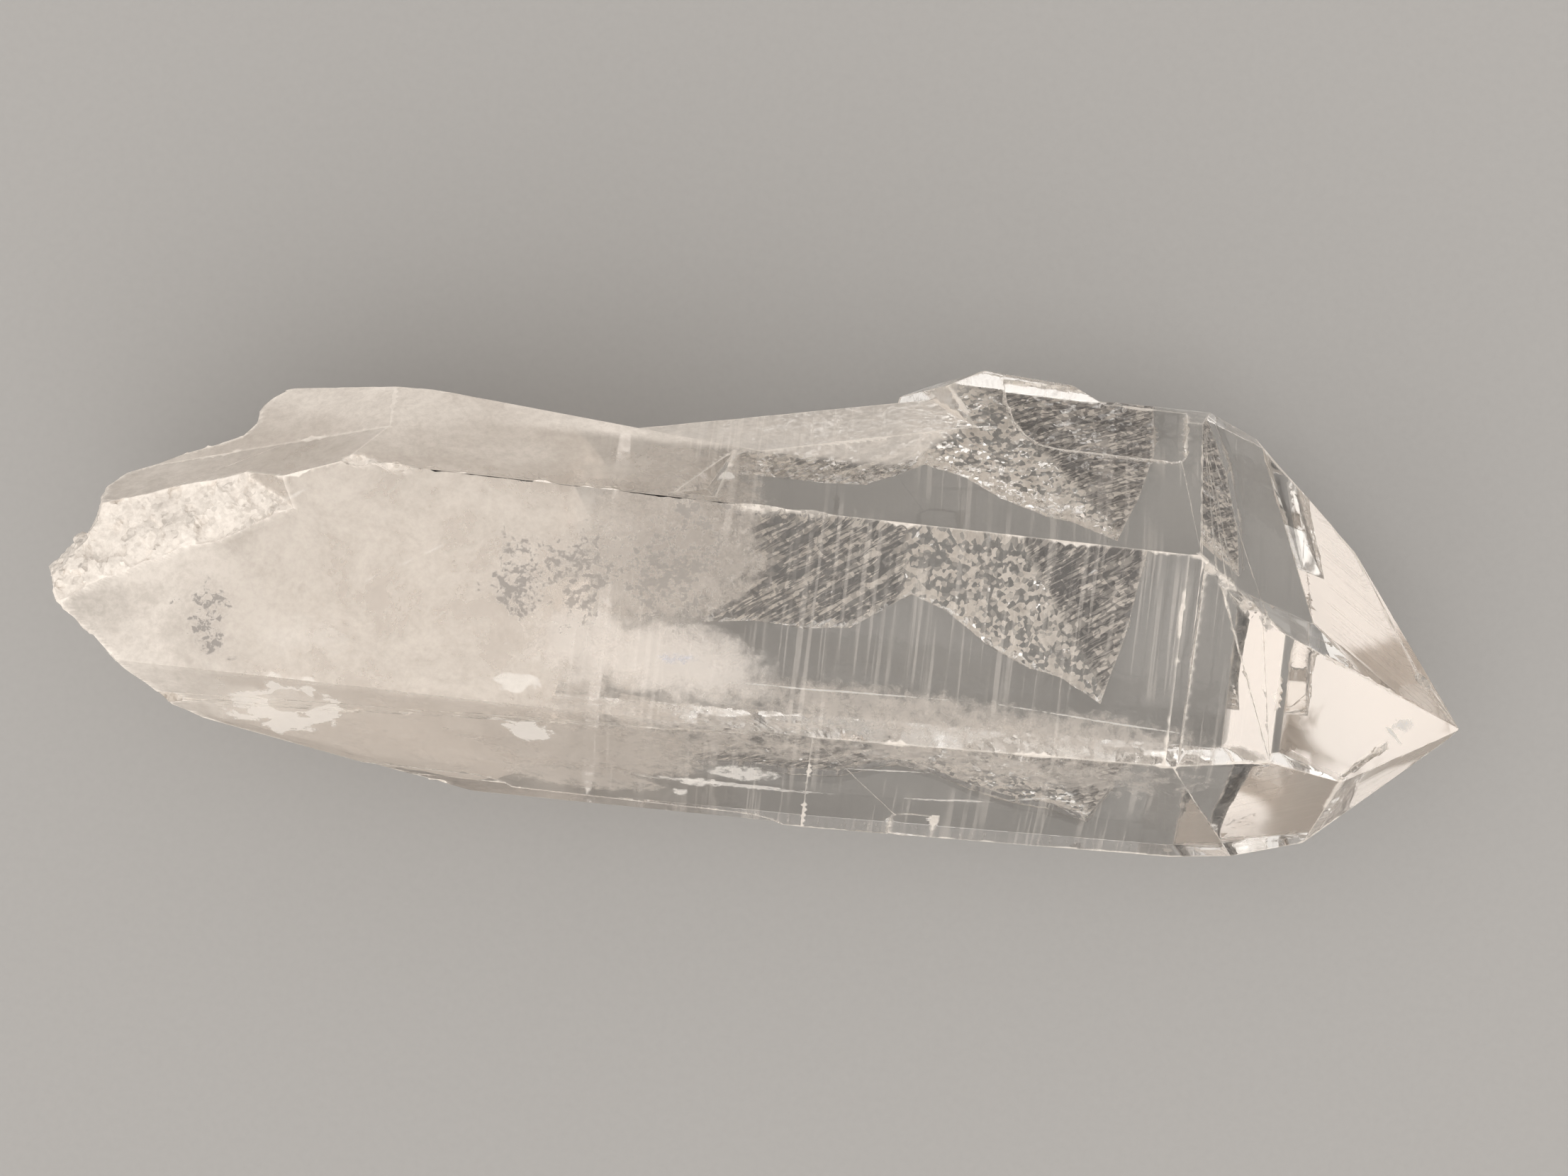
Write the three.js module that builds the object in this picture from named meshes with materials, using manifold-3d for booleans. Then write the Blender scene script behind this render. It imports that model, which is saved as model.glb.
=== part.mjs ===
// Quartz crystal point: one clear crystal, lying on a prism face.
// Millimetres, +Z up. The long axis of the crystal runs along X, from the broken root to the tip.
// The crystal is drawn with its root near X = 0 and is centred over its own box at the end.

import * as THREE from 'three';
import { ConvexGeometry } from 'three/addons/geometries/ConvexGeometry.js';
import { mergeVertices } from 'three/addons/utils/BufferGeometryUtils.js';
import Module from 'manifold-3d';

// ---- driving dimensions -------------------------------------------------------------------

const THICKNESS = 31; // between the lowest and the highest prism face
const LENGTH_CUT = 130; // raw block the crystal is cut from
const REACH = 320; // side of a block that stands for a half-space

// Quartz angles: how far a face of each kind leans in from the long axis, in degrees.
const PRISM = 0;
const TAPER = 1.5;
const STEEP = 15;
const STEEP_SIDE = 14.2;
const POINT = 38.2;

// Each face: which way it looks round the long axis (0 is +Y, 90 is up), how far it leans
// towards the tip, and one point that it passes through.
const FACES = {
  top: { azimuth: 90, lean: PRISM, through: [0, 0, THICKNESS] },
  upperSide: { azimuth: 30, lean: PRISM, through: [84, 6.1, THICKNESS] },
  upperBack: { azimuth: -30, lean: PRISM, through: [84, 16.6, 13.4] },
  bottom: { azimuth: -90, lean: PRISM, through: [0, 0, 0] },
  lowerBack: { azimuth: -150, lean: PRISM, through: [44, -21.15, 13.9] },
  lowerBackTaper: { azimuth: -150, lean: TAPER, through: [93, -19.6, 15.1] },
  lowerSide: { azimuth: 150, lean: PRISM, through: [44, -11.3, THICKNESS] },
  lowerSideTaper: { azimuth: 150, lean: TAPER, through: [60, -11.3, THICKNESS] },
  topBevel: { azimuth: 90, lean: 6, through: [87.4, 0, THICKNESS] },
  topSteep: { azimuth: 90, lean: STEEP, through: [88, 0, THICKNESS] },
  lowerSteep: { azimuth: 145, lean: STEEP_SIDE, through: [95.8, -9.5, 28.9] },
  backSteep: { azimuth: -150, lean: STEEP_SIDE, through: [99.7, -17.3, 16] },
  topPoint: { azimuth: 90, lean: POINT, through: [95.7, -5.2, 28.9] },
  upperPoint: { azimuth: 30, lean: POINT, through: [88.1, 6.2, 31.1] },
  lowerPoint: { azimuth: 150, lean: POINT, through: [99.8, -11.9, 25.7] },
  backPoint: { azimuth: -150, lean: POINT, through: [99.7, -17.5, 16] },
  bottomPoint: { azimuth: -90, lean: POINT, through: [111.4, -6.5, 16.6] },
  upperBackPoint: { azimuth: -30, lean: POINT, through: [94.7, 12.8, 9.3] },
  longEdgeBevel: { azimuth: 18, lean: PRISM, through: [84, 15.1, 15.7] },
};

// Where two leaning faces meet in a valley, everything outside both of them is missing.
const WAIST_ROOT_SIDE = { azimuth: -14, lean: 5.3, through: [28.2, 11.6, 21.5] };
const WAIST_POINT_SIDE = [
  { azimuth: 15, lean: -6, through: [51.4, 9.5, 25.1] },
  { azimuth: -25, lean: -16.8, through: [60, 13.4, 14.2] },
];
const ROOT_STEP = [
  { azimuth: 19, lean: -19.6, through: [22, 6.3, 30.7] },
  { azimuth: 31, lean: -20.5, through: [12.55, 5.19, 23.6] },
];
const ROOT_SHOULDER = [
  { azimuth: -14, lean: -2.5, through: [27, 11.65, 21.5] },
  { azimuth: 0, lean: -90, through: [28, 0, 0] },
];
const ROOT_UNDERCUT = [
  { azimuth: -165, lean: -17.2, through: [19, -17.7, 19.9] },
];
const ROOT_BROKEN_FACES = [
  { azimuth: -162, lean: -34, through: [12.3, -16.4, 22.2] },
  { azimuth: -100, lean: -34, through: [13.5, 0, 0] },
];
const BROKEN_FACE_GRID = { span: [44, 44], cell: 1.7, relief: 0.45 };

// The layer that grew in step with the crystal on its upper side.
const LAYER = {
  stock: { size: [22, 16, 24], at: [75, 13, 15] },
  faces: [
    { azimuth: 30, lean: PRISM, through: [84, 6.1, THICKNESS] },
    { azimuth: -30, lean: 5, through: [78, 17.8, 13.4] },
    { azimuth: 20, lean: PRISM, through: [76, 16.2, 15] },
    { azimuth: 90, lean: -62.6, through: [67.9, 15.8, 14.2] },
    { azimuth: 0, lean: -26, through: [67.9, 16.1, 14.2] },
    { azimuth: 0, lean: 24, through: [76.9, 17.4, 14.2] },
    { azimuth: -70, lean: -8, through: [74, 12, 4.6] },
    { azimuth: 30, lean: POINT, through: [88.1, 6.2, 31.1] },
  ],
};

// The conchoidal scar on the root's upper shoulder, closed at its end by two walls.
const SCAR = {
  floor: { azimuth: 57, lean: -16, through: [12.9, -0.3, THICKNESS] },
  ends: [
    { azimuth: 60, lean: -52, through: [19.3, 4.9, THICKNESS] },
    { azimuth: 112, lean: -38, through: [18, 2.3, THICKNESS] },
  ],
  across: 34,
  cell: 1.1,
  relief: 0.42,
  ripple: 1.15, // of the curved ribs across it, in radians per millimetre
};

// The broken root: how far left its outline stands at each height Y, as [y, x].
const ROOT_OUTLINE = [
  [-24, 15], [-17, 12], [-13.6, 7.4], [-12.4, 5.5], [-10.4, 3.2], [-9.3, 2.1], [-8.55, 0.9],
  [-7.45, -0.3], [-6.3, -0.9], [-5.4, -1.2], [-4.35, -0.2], [-3.2, 0.8], [-2.9, 1.5], [-2.6, 1.5],
  [-0.55, 2.3], [0.85, 2.4], [2.75, 4.2], [3.55, 6.5], [4.7, 8.4], [5.3, 10], [5.7, 11.2],
  [6.2, 12.3], [7.6, 12.95], [8.4, 12.75], [9.5, 13.7], [10.3, 15], [10.9, 18], [12, 22], [24, 32],
];
const ROOT = {
  span: [48, 40],
  cell: 0.98,
  widestAt: 23.5, // height of the part of the break that stands furthest left
  bow: 0.017, // how fast the break falls back above and below that, in 1/mm
  relief: 0.55,
  calm: 3, // within this much of the widest height the relief fades out
};

// The hollow that a neighbouring crystal left in the bottom face. Its outline is [x, y].
const HOLLOW = {
  outline: [
    [50.4, -5.2], [54.5, -4.6], [58.6, -4.8], [62.2, -4.3], [66.7, -1.1], [69.6, -2.1],
    [73.2, -4.4], [76.9, -6], [79.4, -6.4], [82.9, -8.2], [84.3, -2.5], [85.2, 4.2],
    [84.6, 14], [56, 14], [53, 4.5], [51.2, -1.5],
  ],
  depth: 2.3,
  middle: [68, 2],
  size: 44,
  crest: [[68.5, 8], [79.4, -7]], // the ridge that crosses its roof
  ridge: 0.38,
  flank: 5, // from the ridge's top to its foot
  cell: 1.1,
  relief: 0.42,
  grain: 1.4, // how much finer its relief is than the root's
};

// Growth steps: a thin layer is missing between a line that runs along the crystal and the
// face's outer edge. A turned step runs towards the root.
const STEPS = [
  { face: 'upperSide', at: [72.2, 12.4, 20.1], length: 14.8, width: 9, depth: 0.4 },
  { face: 'lowerSide', at: [59.5, -19.8, 16.3], length: 31, width: 4, depth: 0.34, turned: true },
  { face: 'lowerSide', at: [38, -18.9, 17.8], length: 16, width: 6, depth: 0.26, turned: true },
  { face: 'lowerSide', at: [86, -18.2, 18.9], length: 19, width: 5, depth: 0.2, turned: true },
];
const STEP_CORNER = 1.2; // radius at the rounded end of a step
const STEP_CLEARANCE = 3; // how far the cutting slab stands clear of the face

// Shallow three-sided pits, by their corners, and how deep each one's lowest point lies.
const PITS = [
  { corners: [[47.3, 6.4, 30.4], [50.4, 6.4, 30.4], [51.5, 9.8, 24.6]], depth: 0.85 },
  { corners: [[94.1, -11.1, 28.4], [96.6, -10.1, 28.6], [94.9, -10, 29.4]], depth: 0.6 },
  { corners: [[94.4, -11.9, 26.6], [95.8, -10.3, 28.4], [95.1, -10.6, 28.6]], depth: 0.5 },
  { corners: [[102.3, -10.2, 23.6], [105.9, -8.1, 21.2], [105.4, -7.6, 21.3]], depth: 0.5 },
];

const PIT_RIM = 0.3; // how far the cutting hull's lid stands out and overhangs, as a share

// Chips knocked out of the edges: centre, and radii along X, Y and Z.
const CHIPS = [
  { at: [89.6, 5.2, 31.15], size: [1.1, 0.7, 0.8] },
  { at: [91.1, 4.05, 30.7], size: [1.2, 0.6, 0.8] },
  { at: [92.9, 2.6, 30.2], size: [1.3, 0.6, 0.7] },
  { at: [94.4, 1.55, 29.7], size: [0.8, 0.5, 0.6] },
  { at: [22.6, 6.6, 31.1], size: [1.6, 0.9, 0.9] },
  { at: [25.6, 6.2, 31.3], size: [1.4, 0.7, 0.6] },
  { at: [54, 6.3, 31.35], size: [2.6, 0.7, 0.6] },
  { at: [58.2, 6.4, 31.3], size: [1.8, 0.6, 0.6] },
  { at: [30.4, -20.6, 15.4], size: [1.7, 0.7, 0.8] },
  { at: [9.4, -14.4, 25.6], size: [1.3, 0.9, 1.1] },
  { at: [108.2, -3.2, 15.6], size: [1, 0.5, 0.7] },
  { at: [78.9, 16.7, 13.6], size: [0.9, 0.5, 0.8] },
];

// The small knob that stands on the root's outline.
const KNOB = { at: [1.4, -3.1, 23.4], size: [0.9, 0.7, 0.9] };

const COLOUR = 0xddd5cb;
const CLARITY = 0.5;
const ROUGHNESS = 0.08;

// ---- solids -------------------------------------------------------------------------------

const wasm = await Module();
wasm.setup();

/** Turns a closed three.js geometry into a solid that can be cut and joined. */
function solid(geometry) {
  const bare = geometry.index ? geometry.clone() : geometry;
  bare.deleteAttribute('normal');
  bare.deleteAttribute('uv');
  const merged = mergeVertices(bare, 1e-5);
  return new wasm.Manifold(new wasm.Mesh({
    numProp: 3,
    vertProperties: Float32Array.from(merged.attributes.position.array),
    triVerts: Uint32Array.from(merged.index.array),
  }));
}

/** Turns a solid back into a three.js geometry with flat faces. */
function faceted(body) {
  const mesh = body.getMesh();
  const geometry = new THREE.BufferGeometry();
  geometry.setAttribute('position', new THREE.BufferAttribute(Float32Array.from(mesh.vertProperties), 3));
  geometry.setIndex(new THREE.BufferAttribute(Uint32Array.from(mesh.triVerts), 1));
  return geometry;
}

/** The outward direction of a face. */
function outward({ azimuth, lean }) {
  const turn = THREE.MathUtils.degToRad(azimuth);
  const tip = THREE.MathUtils.degToRad(lean);
  return new THREE.Vector3(Math.sin(tip), Math.cos(tip) * Math.cos(turn), Math.cos(tip) * Math.sin(turn));
}

/** The frame of a face: its X runs up the crystal within the face and its Z looks outward. */
function faceFrame(face, point = face.through) {
  const z = outward(face);
  const x = new THREE.Vector3(1, 0, 0).addScaledVector(z, -z.x).normalize();
  const y = new THREE.Vector3().crossVectors(z, x);
  return new THREE.Matrix4().makeBasis(x, y, z).setPosition(...point);
}

/**
 * A block that stands on a face and fills everything outside it. With a relief its underside
 * is a grid of small facets, raised or sunk by relief(x, y) in the face's own frame.
 */
function beyond(face, { span = [REACH, REACH], cell = REACH, relief = () => 0 } = {}) {
  const [width, depth] = span;
  const cells = [Math.ceil(width / cell), Math.ceil(depth / cell)];
  const block = new THREE.BoxGeometry(width, depth, REACH, ...cells, 1);
  block.translate(0, 0, REACH / 2);
  const spots = block.attributes.position;
  for (let i = 0; i < spots.count; i += 1) {
    if (spots.getZ(i) < REACH / 2) spots.setZ(i, relief(spots.getX(i), spots.getY(i)));
  }
  return solid(block.applyMatrix4(faceFrame(face)));
}

/** Everything that lies outside all of the given faces. */
function outsideAll(faces) {
  return faces.map((face) => beyond(face)).reduce((shared, block) => shared.intersect(block));
}

/** What is left of a body when each face has cut it. */
function cutBy(body, faces) {
  return faces.reduce((left, face) => left.subtract(beyond(face)), body);
}

/** A convex solid round a few points. */
function hullOf(points) {
  return solid(new ConvexGeometry(points));
}

/** A lump with a few flat facets, for chips and knobs. */
function lump({ at, size }) {
  return solid(new THREE.IcosahedronGeometry(1, 1).scale(...size).rotateX(0.4).translate(...at));
}

// ---- rough surfaces -----------------------------------------------------------------------

/** A repeatable number between -1 and 1 for each cell of a grid. */
function scatter(i, j, seed) {
  const wave = Math.sin(i * 127.1 + j * 311.7 + seed * 74.7) * 43758.5453;
  return 2 * (wave - Math.floor(wave)) - 1;
}

/** Smooth noise between -1 and 1, one hump per millimetre of x and y. */
function noise(x, y, seed) {
  const [i, j] = [Math.floor(x), Math.floor(y)];
  const ease = (t) => t * t * (3 - 2 * t);
  const [u, v] = [ease(x - i), ease(y - j)];
  const low = THREE.MathUtils.lerp(scatter(i, j, seed), scatter(i + 1, j, seed), u);
  const high = THREE.MathUtils.lerp(scatter(i, j + 1, seed), scatter(i + 1, j + 1, seed), u);
  return THREE.MathUtils.lerp(low, high, v);
}

/** A broken surface: broad swells, smaller lumps, and grit. */
function broken(x, y, seed) {
  const swell = noise(x / 6.5, y / 5.5, seed);
  const lumps = noise(x / 2.6, y / 2.2, seed + 3);
  const grit = noise(x / 1.2, y / 1.2, seed + 7);
  return 0.55 * swell + 0.3 * lumps + 0.15 * grit;
}

/** Reads a hand-drawn line of [position, value] pairs, straight between its points. */
function readLine(line, position) {
  const after = line.findIndex(([start]) => start >= position);
  if (after === 0) return line[0][1];
  if (after < 0) return line[line.length - 1][1];
  const [[from, low], [to, high]] = [line[after - 1], line[after]];
  return THREE.MathUtils.lerp(low, high, (position - from) / (to - from));
}

// ---- the crystal --------------------------------------------------------------------------

/** The rough face that one broken side of the root shows, as what it took away. */
function brokenFace(face, index) {
  const { span, cell, relief } = BROKEN_FACE_GRID;
  return beyond(face, { span, cell, relief: (x, y) => relief * broken(x, y, 31 + index) });
}

/** The body with its natural faces, before anything grew on it or broke off. */
function prism() {
  const stock = new THREE.BoxGeometry(LENGTH_CUT, 60, 50).translate(LENGTH_CUT / 2 - 2, 0, THICKNESS / 2);
  return cutBy(solid(stock), Object.values(FACES));
}

/** The layer of quartz that grew in step on the upper side. */
function parallelLayer() {
  const stock = new THREE.BoxGeometry(...LAYER.stock.size).translate(...LAYER.stock.at);
  return cutBy(solid(stock), LAYER.faces);
}

/** The conchoidal scar, as what it took away. */
function scar() {
  const relief = (x, y) => {
    const ripple = Math.sin(Math.hypot(x + 12, y - 9) * SCAR.ripple);
    return SCAR.relief * (0.3 * ripple + broken(x, y, 5) - 0.4);
  };
  const floor = beyond(SCAR.floor, { span: [SCAR.across, SCAR.across], cell: SCAR.cell, relief });
  return floor.intersect(outsideAll(SCAR.ends));
}

/** The break at the root, as what it took away: an outline in plan that bows from top to bottom. */
function rootBreak() {
  const face = { azimuth: 90, lean: -90 };
  const [width, height] = ROOT.span;
  const frame = new THREE.Matrix4().makeBasis(
    new THREE.Vector3(0, 1, 0), new THREE.Vector3(0, 0, -1), outward(face));
  const block = new THREE.BoxGeometry(
    width, height, REACH, Math.ceil(width / ROOT.cell), Math.ceil(height / ROOT.cell), 1);
  block.translate(0, 0, REACH / 2);
  const spots = block.attributes.position;
  for (let i = 0; i < spots.count; i += 1) {
    if (spots.getZ(i) > REACH / 2) continue;
    const [y, z] = [spots.getX(i), THICKNESS / 2 - spots.getY(i)];
    const drop = ROOT.bow * (z - ROOT.widestAt) ** 2;
    const strength = ROOT.relief * Math.min(1, Math.abs(z - ROOT.widestAt) / ROOT.calm);
    const rough = strength * (1 + broken(y, z, 11));
    spots.setZ(i, -readLine(ROOT_OUTLINE, y) - drop - rough);
  }
  return solid(block.applyMatrix4(frame.setPosition(0, 0, THICKNESS / 2)));
}

/** The hollow in the bottom face: a crisp outline with a ridged, rough roof. */
function hollow() {
  const { outline, depth, middle, size, crest, ridge, flank, cell, relief, grain } = HOLLOW;
  const shape = new THREE.Shape(outline.map(([x, y]) => new THREE.Vector2(x, y)));
  const plug = new THREE.ExtrudeGeometry(shape, { depth: 3 * depth, bevelEnabled: false });
  plug.translate(0, 0, -depth);
  const [start, end] = crest.map(([x, y]) => new THREE.Vector2(x, y));
  const along = end.clone().sub(start).normalize();
  const cells = Math.ceil(size / cell);
  const block = new THREE.BoxGeometry(size, size, 4 * depth, cells, cells, 1);
  block.translate(...middle, -depth);
  const spots = block.attributes.position;
  for (let i = 0; i < spots.count; i += 1) {
    if (spots.getZ(i) < 0) continue;
    const [x, y] = [spots.getX(i), spots.getY(i)];
    const away = Math.abs((x - start.x) * along.y - (y - start.y) * along.x);
    const roof = ridge * Math.cos(Math.min(away / flank, 2) * Math.PI);
    spots.setZ(i, depth + roof + relief * broken(x * grain, y * grain, 23));
  }
  return solid(block).intersect(solid(plug));
}

/** A thin layer missing from a face, beyond a line along the crystal, with a rounded far end. */
function growthStep({ face, at, length, width, depth, turned = false }) {
  const outline = new THREE.Shape();
  outline.moveTo(0, width);
  outline.quadraticCurveTo(0.5 * STEP_CORNER, 0, 4 * STEP_CORNER, 0);
  outline.lineTo(length - STEP_CORNER, 0);
  outline.absarc(length - STEP_CORNER, STEP_CORNER, STEP_CORNER, -Math.PI / 2, 0);
  outline.lineTo(length, width);
  const slab = new THREE.ExtrudeGeometry(outline, {
    depth: STEP_CLEARANCE, bevelEnabled: false, curveSegments: 5,
  });
  slab.translate(0, 0, -depth).rotateZ(turned ? Math.PI : 0);
  return solid(slab.applyMatrix4(faceFrame(FACES[face], at)));
}

/** A three-sided pit, as what it took away. */
function pit({ corners, depth }) {
  const points = corners.map((corner) => new THREE.Vector3(...corner));
  const middle = points.reduce((sum, p) => sum.add(p), new THREE.Vector3()).divideScalar(3);
  const edgeA = points[1].clone().sub(points[0]);
  const normal = edgeA.cross(points[2].clone().sub(points[0])).normalize();
  const centre = new THREE.Vector3(middle.x, -2, THICKNESS / 2);
  if (normal.dot(middle.clone().sub(centre)) < 0) normal.negate();
  const spread = (p) => p.clone().sub(middle).multiplyScalar(1 + PIT_RIM).add(middle);
  const lid = points.map((p) => spread(p).addScaledVector(normal, PIT_RIM * depth));
  return hullOf([...lid, middle.clone().addScaledVector(normal, -depth)]);
}

/** The whole crystal as one solid. */
function crystal() {
  const waist = WAIST_POINT_SIDE.map((face) => outsideAll([face, WAIST_ROOT_SIDE]));
  const waisted = waist.reduce((body, valley) => body.subtract(valley), prism());
  const grown = waisted.add(parallelLayer());
  const cuts = [
    outsideAll(ROOT_STEP), outsideAll(ROOT_SHOULDER), scar(), rootBreak(), hollow(),
    ...ROOT_UNDERCUT.map((face) => beyond(face)), ...ROOT_BROKEN_FACES.map(brokenFace),
    ...STEPS.map(growthStep), ...PITS.map(pit), ...CHIPS.map(lump),
  ];
  const broken = cuts.reduce((body, cut) => body.subtract(cut), grown);
  return broken.add(lump(KNOB));
}

const quartz = new THREE.Mesh(
  faceted(crystal()),
  new THREE.MeshStandardMaterial({
    color: COLOUR,
    roughness: ROUGHNESS,
    metalness: 0,
    transparent: true,
    opacity: CLARITY,
    flatShading: true,
  }),
);
quartz.name = 'quartz_crystal';

const box = new THREE.Box3().setFromBufferAttribute(quartz.geometry.attributes.position);
const centre = box.getCenter(new THREE.Vector3());
quartz.geometry.translate(-centre.x, -centre.y, -box.min.z);

const model = new THREE.Group();
model.name = 'quartz_crystal_point';
model.add(quartz);

export default model;
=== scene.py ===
"""The looks of a quartz crystal point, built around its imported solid. Blender 4.5, metres, +Z up.

The crystal lies along X with its point at +X. Its body is a copy of the solid, refined and broken
up where the crystal is broken. Clouds, veils and cracks lie inside it.
"""

import logging
import math
from dataclasses import dataclass, field
from enum import Enum
from typing import Any, Sequence

import bpy
import numpy as np
from mathutils import Matrix, Vector


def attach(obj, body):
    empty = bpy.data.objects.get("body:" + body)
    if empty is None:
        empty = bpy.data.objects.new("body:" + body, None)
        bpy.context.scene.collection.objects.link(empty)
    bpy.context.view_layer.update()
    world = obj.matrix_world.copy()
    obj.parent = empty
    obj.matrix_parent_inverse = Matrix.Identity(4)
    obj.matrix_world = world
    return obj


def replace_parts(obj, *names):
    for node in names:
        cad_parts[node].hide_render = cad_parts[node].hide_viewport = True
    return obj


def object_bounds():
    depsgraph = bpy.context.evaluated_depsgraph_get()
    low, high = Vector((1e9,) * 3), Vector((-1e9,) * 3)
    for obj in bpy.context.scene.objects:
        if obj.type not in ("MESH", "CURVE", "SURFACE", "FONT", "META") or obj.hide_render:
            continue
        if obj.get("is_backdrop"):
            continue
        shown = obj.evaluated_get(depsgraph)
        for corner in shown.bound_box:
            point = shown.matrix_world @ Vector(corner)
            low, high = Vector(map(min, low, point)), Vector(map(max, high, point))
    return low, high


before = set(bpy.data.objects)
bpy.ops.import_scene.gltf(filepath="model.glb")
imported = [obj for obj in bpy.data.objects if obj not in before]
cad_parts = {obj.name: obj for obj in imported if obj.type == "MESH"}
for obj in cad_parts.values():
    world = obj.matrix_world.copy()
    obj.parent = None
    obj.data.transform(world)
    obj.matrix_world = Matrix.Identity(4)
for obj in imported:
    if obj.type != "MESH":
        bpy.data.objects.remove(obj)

MM = 0.001
BODY = "root"
NODE = "quartz_crystal"
QUARTZ_IOR = 1.544
LOG = logging.getLogger("quartz")

# The sine that the lattice numbers are read from.
LATTICE_WAYS = (127.1, 311.7, 74.7)
LATTICE_SEED_STEP = 19.19
LATTICE_SIZE = 43758.5453
LEAN_SEED = 11  # added to a pattern's number for the way in which a facet leans
HEIGHT_SEED = 17  # and for its height
RAYS_AT_ONCE = 128  # how many rays are tried against every triangle in one go
SENSOR_WIDTH = 36.0  # of the camera, millimetres


# ---- noise -------------------------------------------------------------------------------


def lattice(cells: np.ndarray, seed: int) -> np.ndarray:
    """A repeatable number from 0 to 1 for each whole-numbered cell.

    Args:
        cells: whole numbers, one row of three for each cell.
        seed: which of the endless patterns to read.

    Returns:
        One number for each row, from the fraction of a large sine.
    """
    wave = np.sin(cells @ np.array(LATTICE_WAYS) + seed * LATTICE_SEED_STEP) * LATTICE_SIZE
    return wave - np.floor(wave)


def noise(points: np.ndarray, seed: int) -> np.ndarray:
    """Smooth noise: lattice numbers blended across each cell with the ease curve 3t² - 2t³.

    Args:
        points: positions, in cells.
        seed: which pattern to read.

    Returns:
        One number for each point, from -1 to 1.
    """
    base = np.floor(points)
    part = points - base
    ease = part * part * (3.0 - 2.0 * part)
    total = np.zeros(len(points))
    for corner in np.ndindex(2, 2, 2):
        step = np.array(corner, float)
        weight = np.prod(np.where(step > 0, ease, 1.0 - ease), axis=1)
        total += weight * lattice(base + step, seed)
    return 2.0 * total - 1.0


def layered_noise(points: np.ndarray, seed: int, layers: int = 4) -> np.ndarray:
    """Several layers of smooth noise, each twice as fine and half as strong as the last."""
    strengths = 0.5 ** np.arange(layers)
    parts = [s * noise(points * 2.0**i, seed + 7 * i) for i, s in enumerate(strengths)]
    return np.sum(parts, axis=0) / strengths.sum()


def facets(points: np.ndarray, seed: int) -> np.ndarray:
    """Broken facets: each cell has one tilted flat, and a point reads that of its nearest seed.

    Args:
        points: positions, in cells.
        seed: which pattern to read.

    Returns:
        The height of the flat over each point, about -1 to 1.
    """
    base = np.floor(points)
    nearest = np.full(len(points), np.inf)
    height = np.zeros(len(points))
    for corner in np.ndindex(3, 3, 3):
        cell = base + np.array(corner, float) - 1.0
        seeds = cell + np.stack([lattice(cell, seed + k) for k in range(3)], axis=1)
        away = points - seeds
        distance = np.einsum("ij,ij->i", away, away)
        slope = np.stack([lattice(cell, seed + LEAN_SEED + k) for k in range(3)], axis=1) - 0.5
        flat = 2.0 * np.einsum("ij,ij->i", away, slope) + lattice(cell, seed + HEIGHT_SEED) - 0.5
        closer = distance < nearest
        nearest = np.where(closer, distance, nearest)
        height = np.where(closer, flat, height)
    return height


# ---- meshes ------------------------------------------------------------------------------


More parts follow.
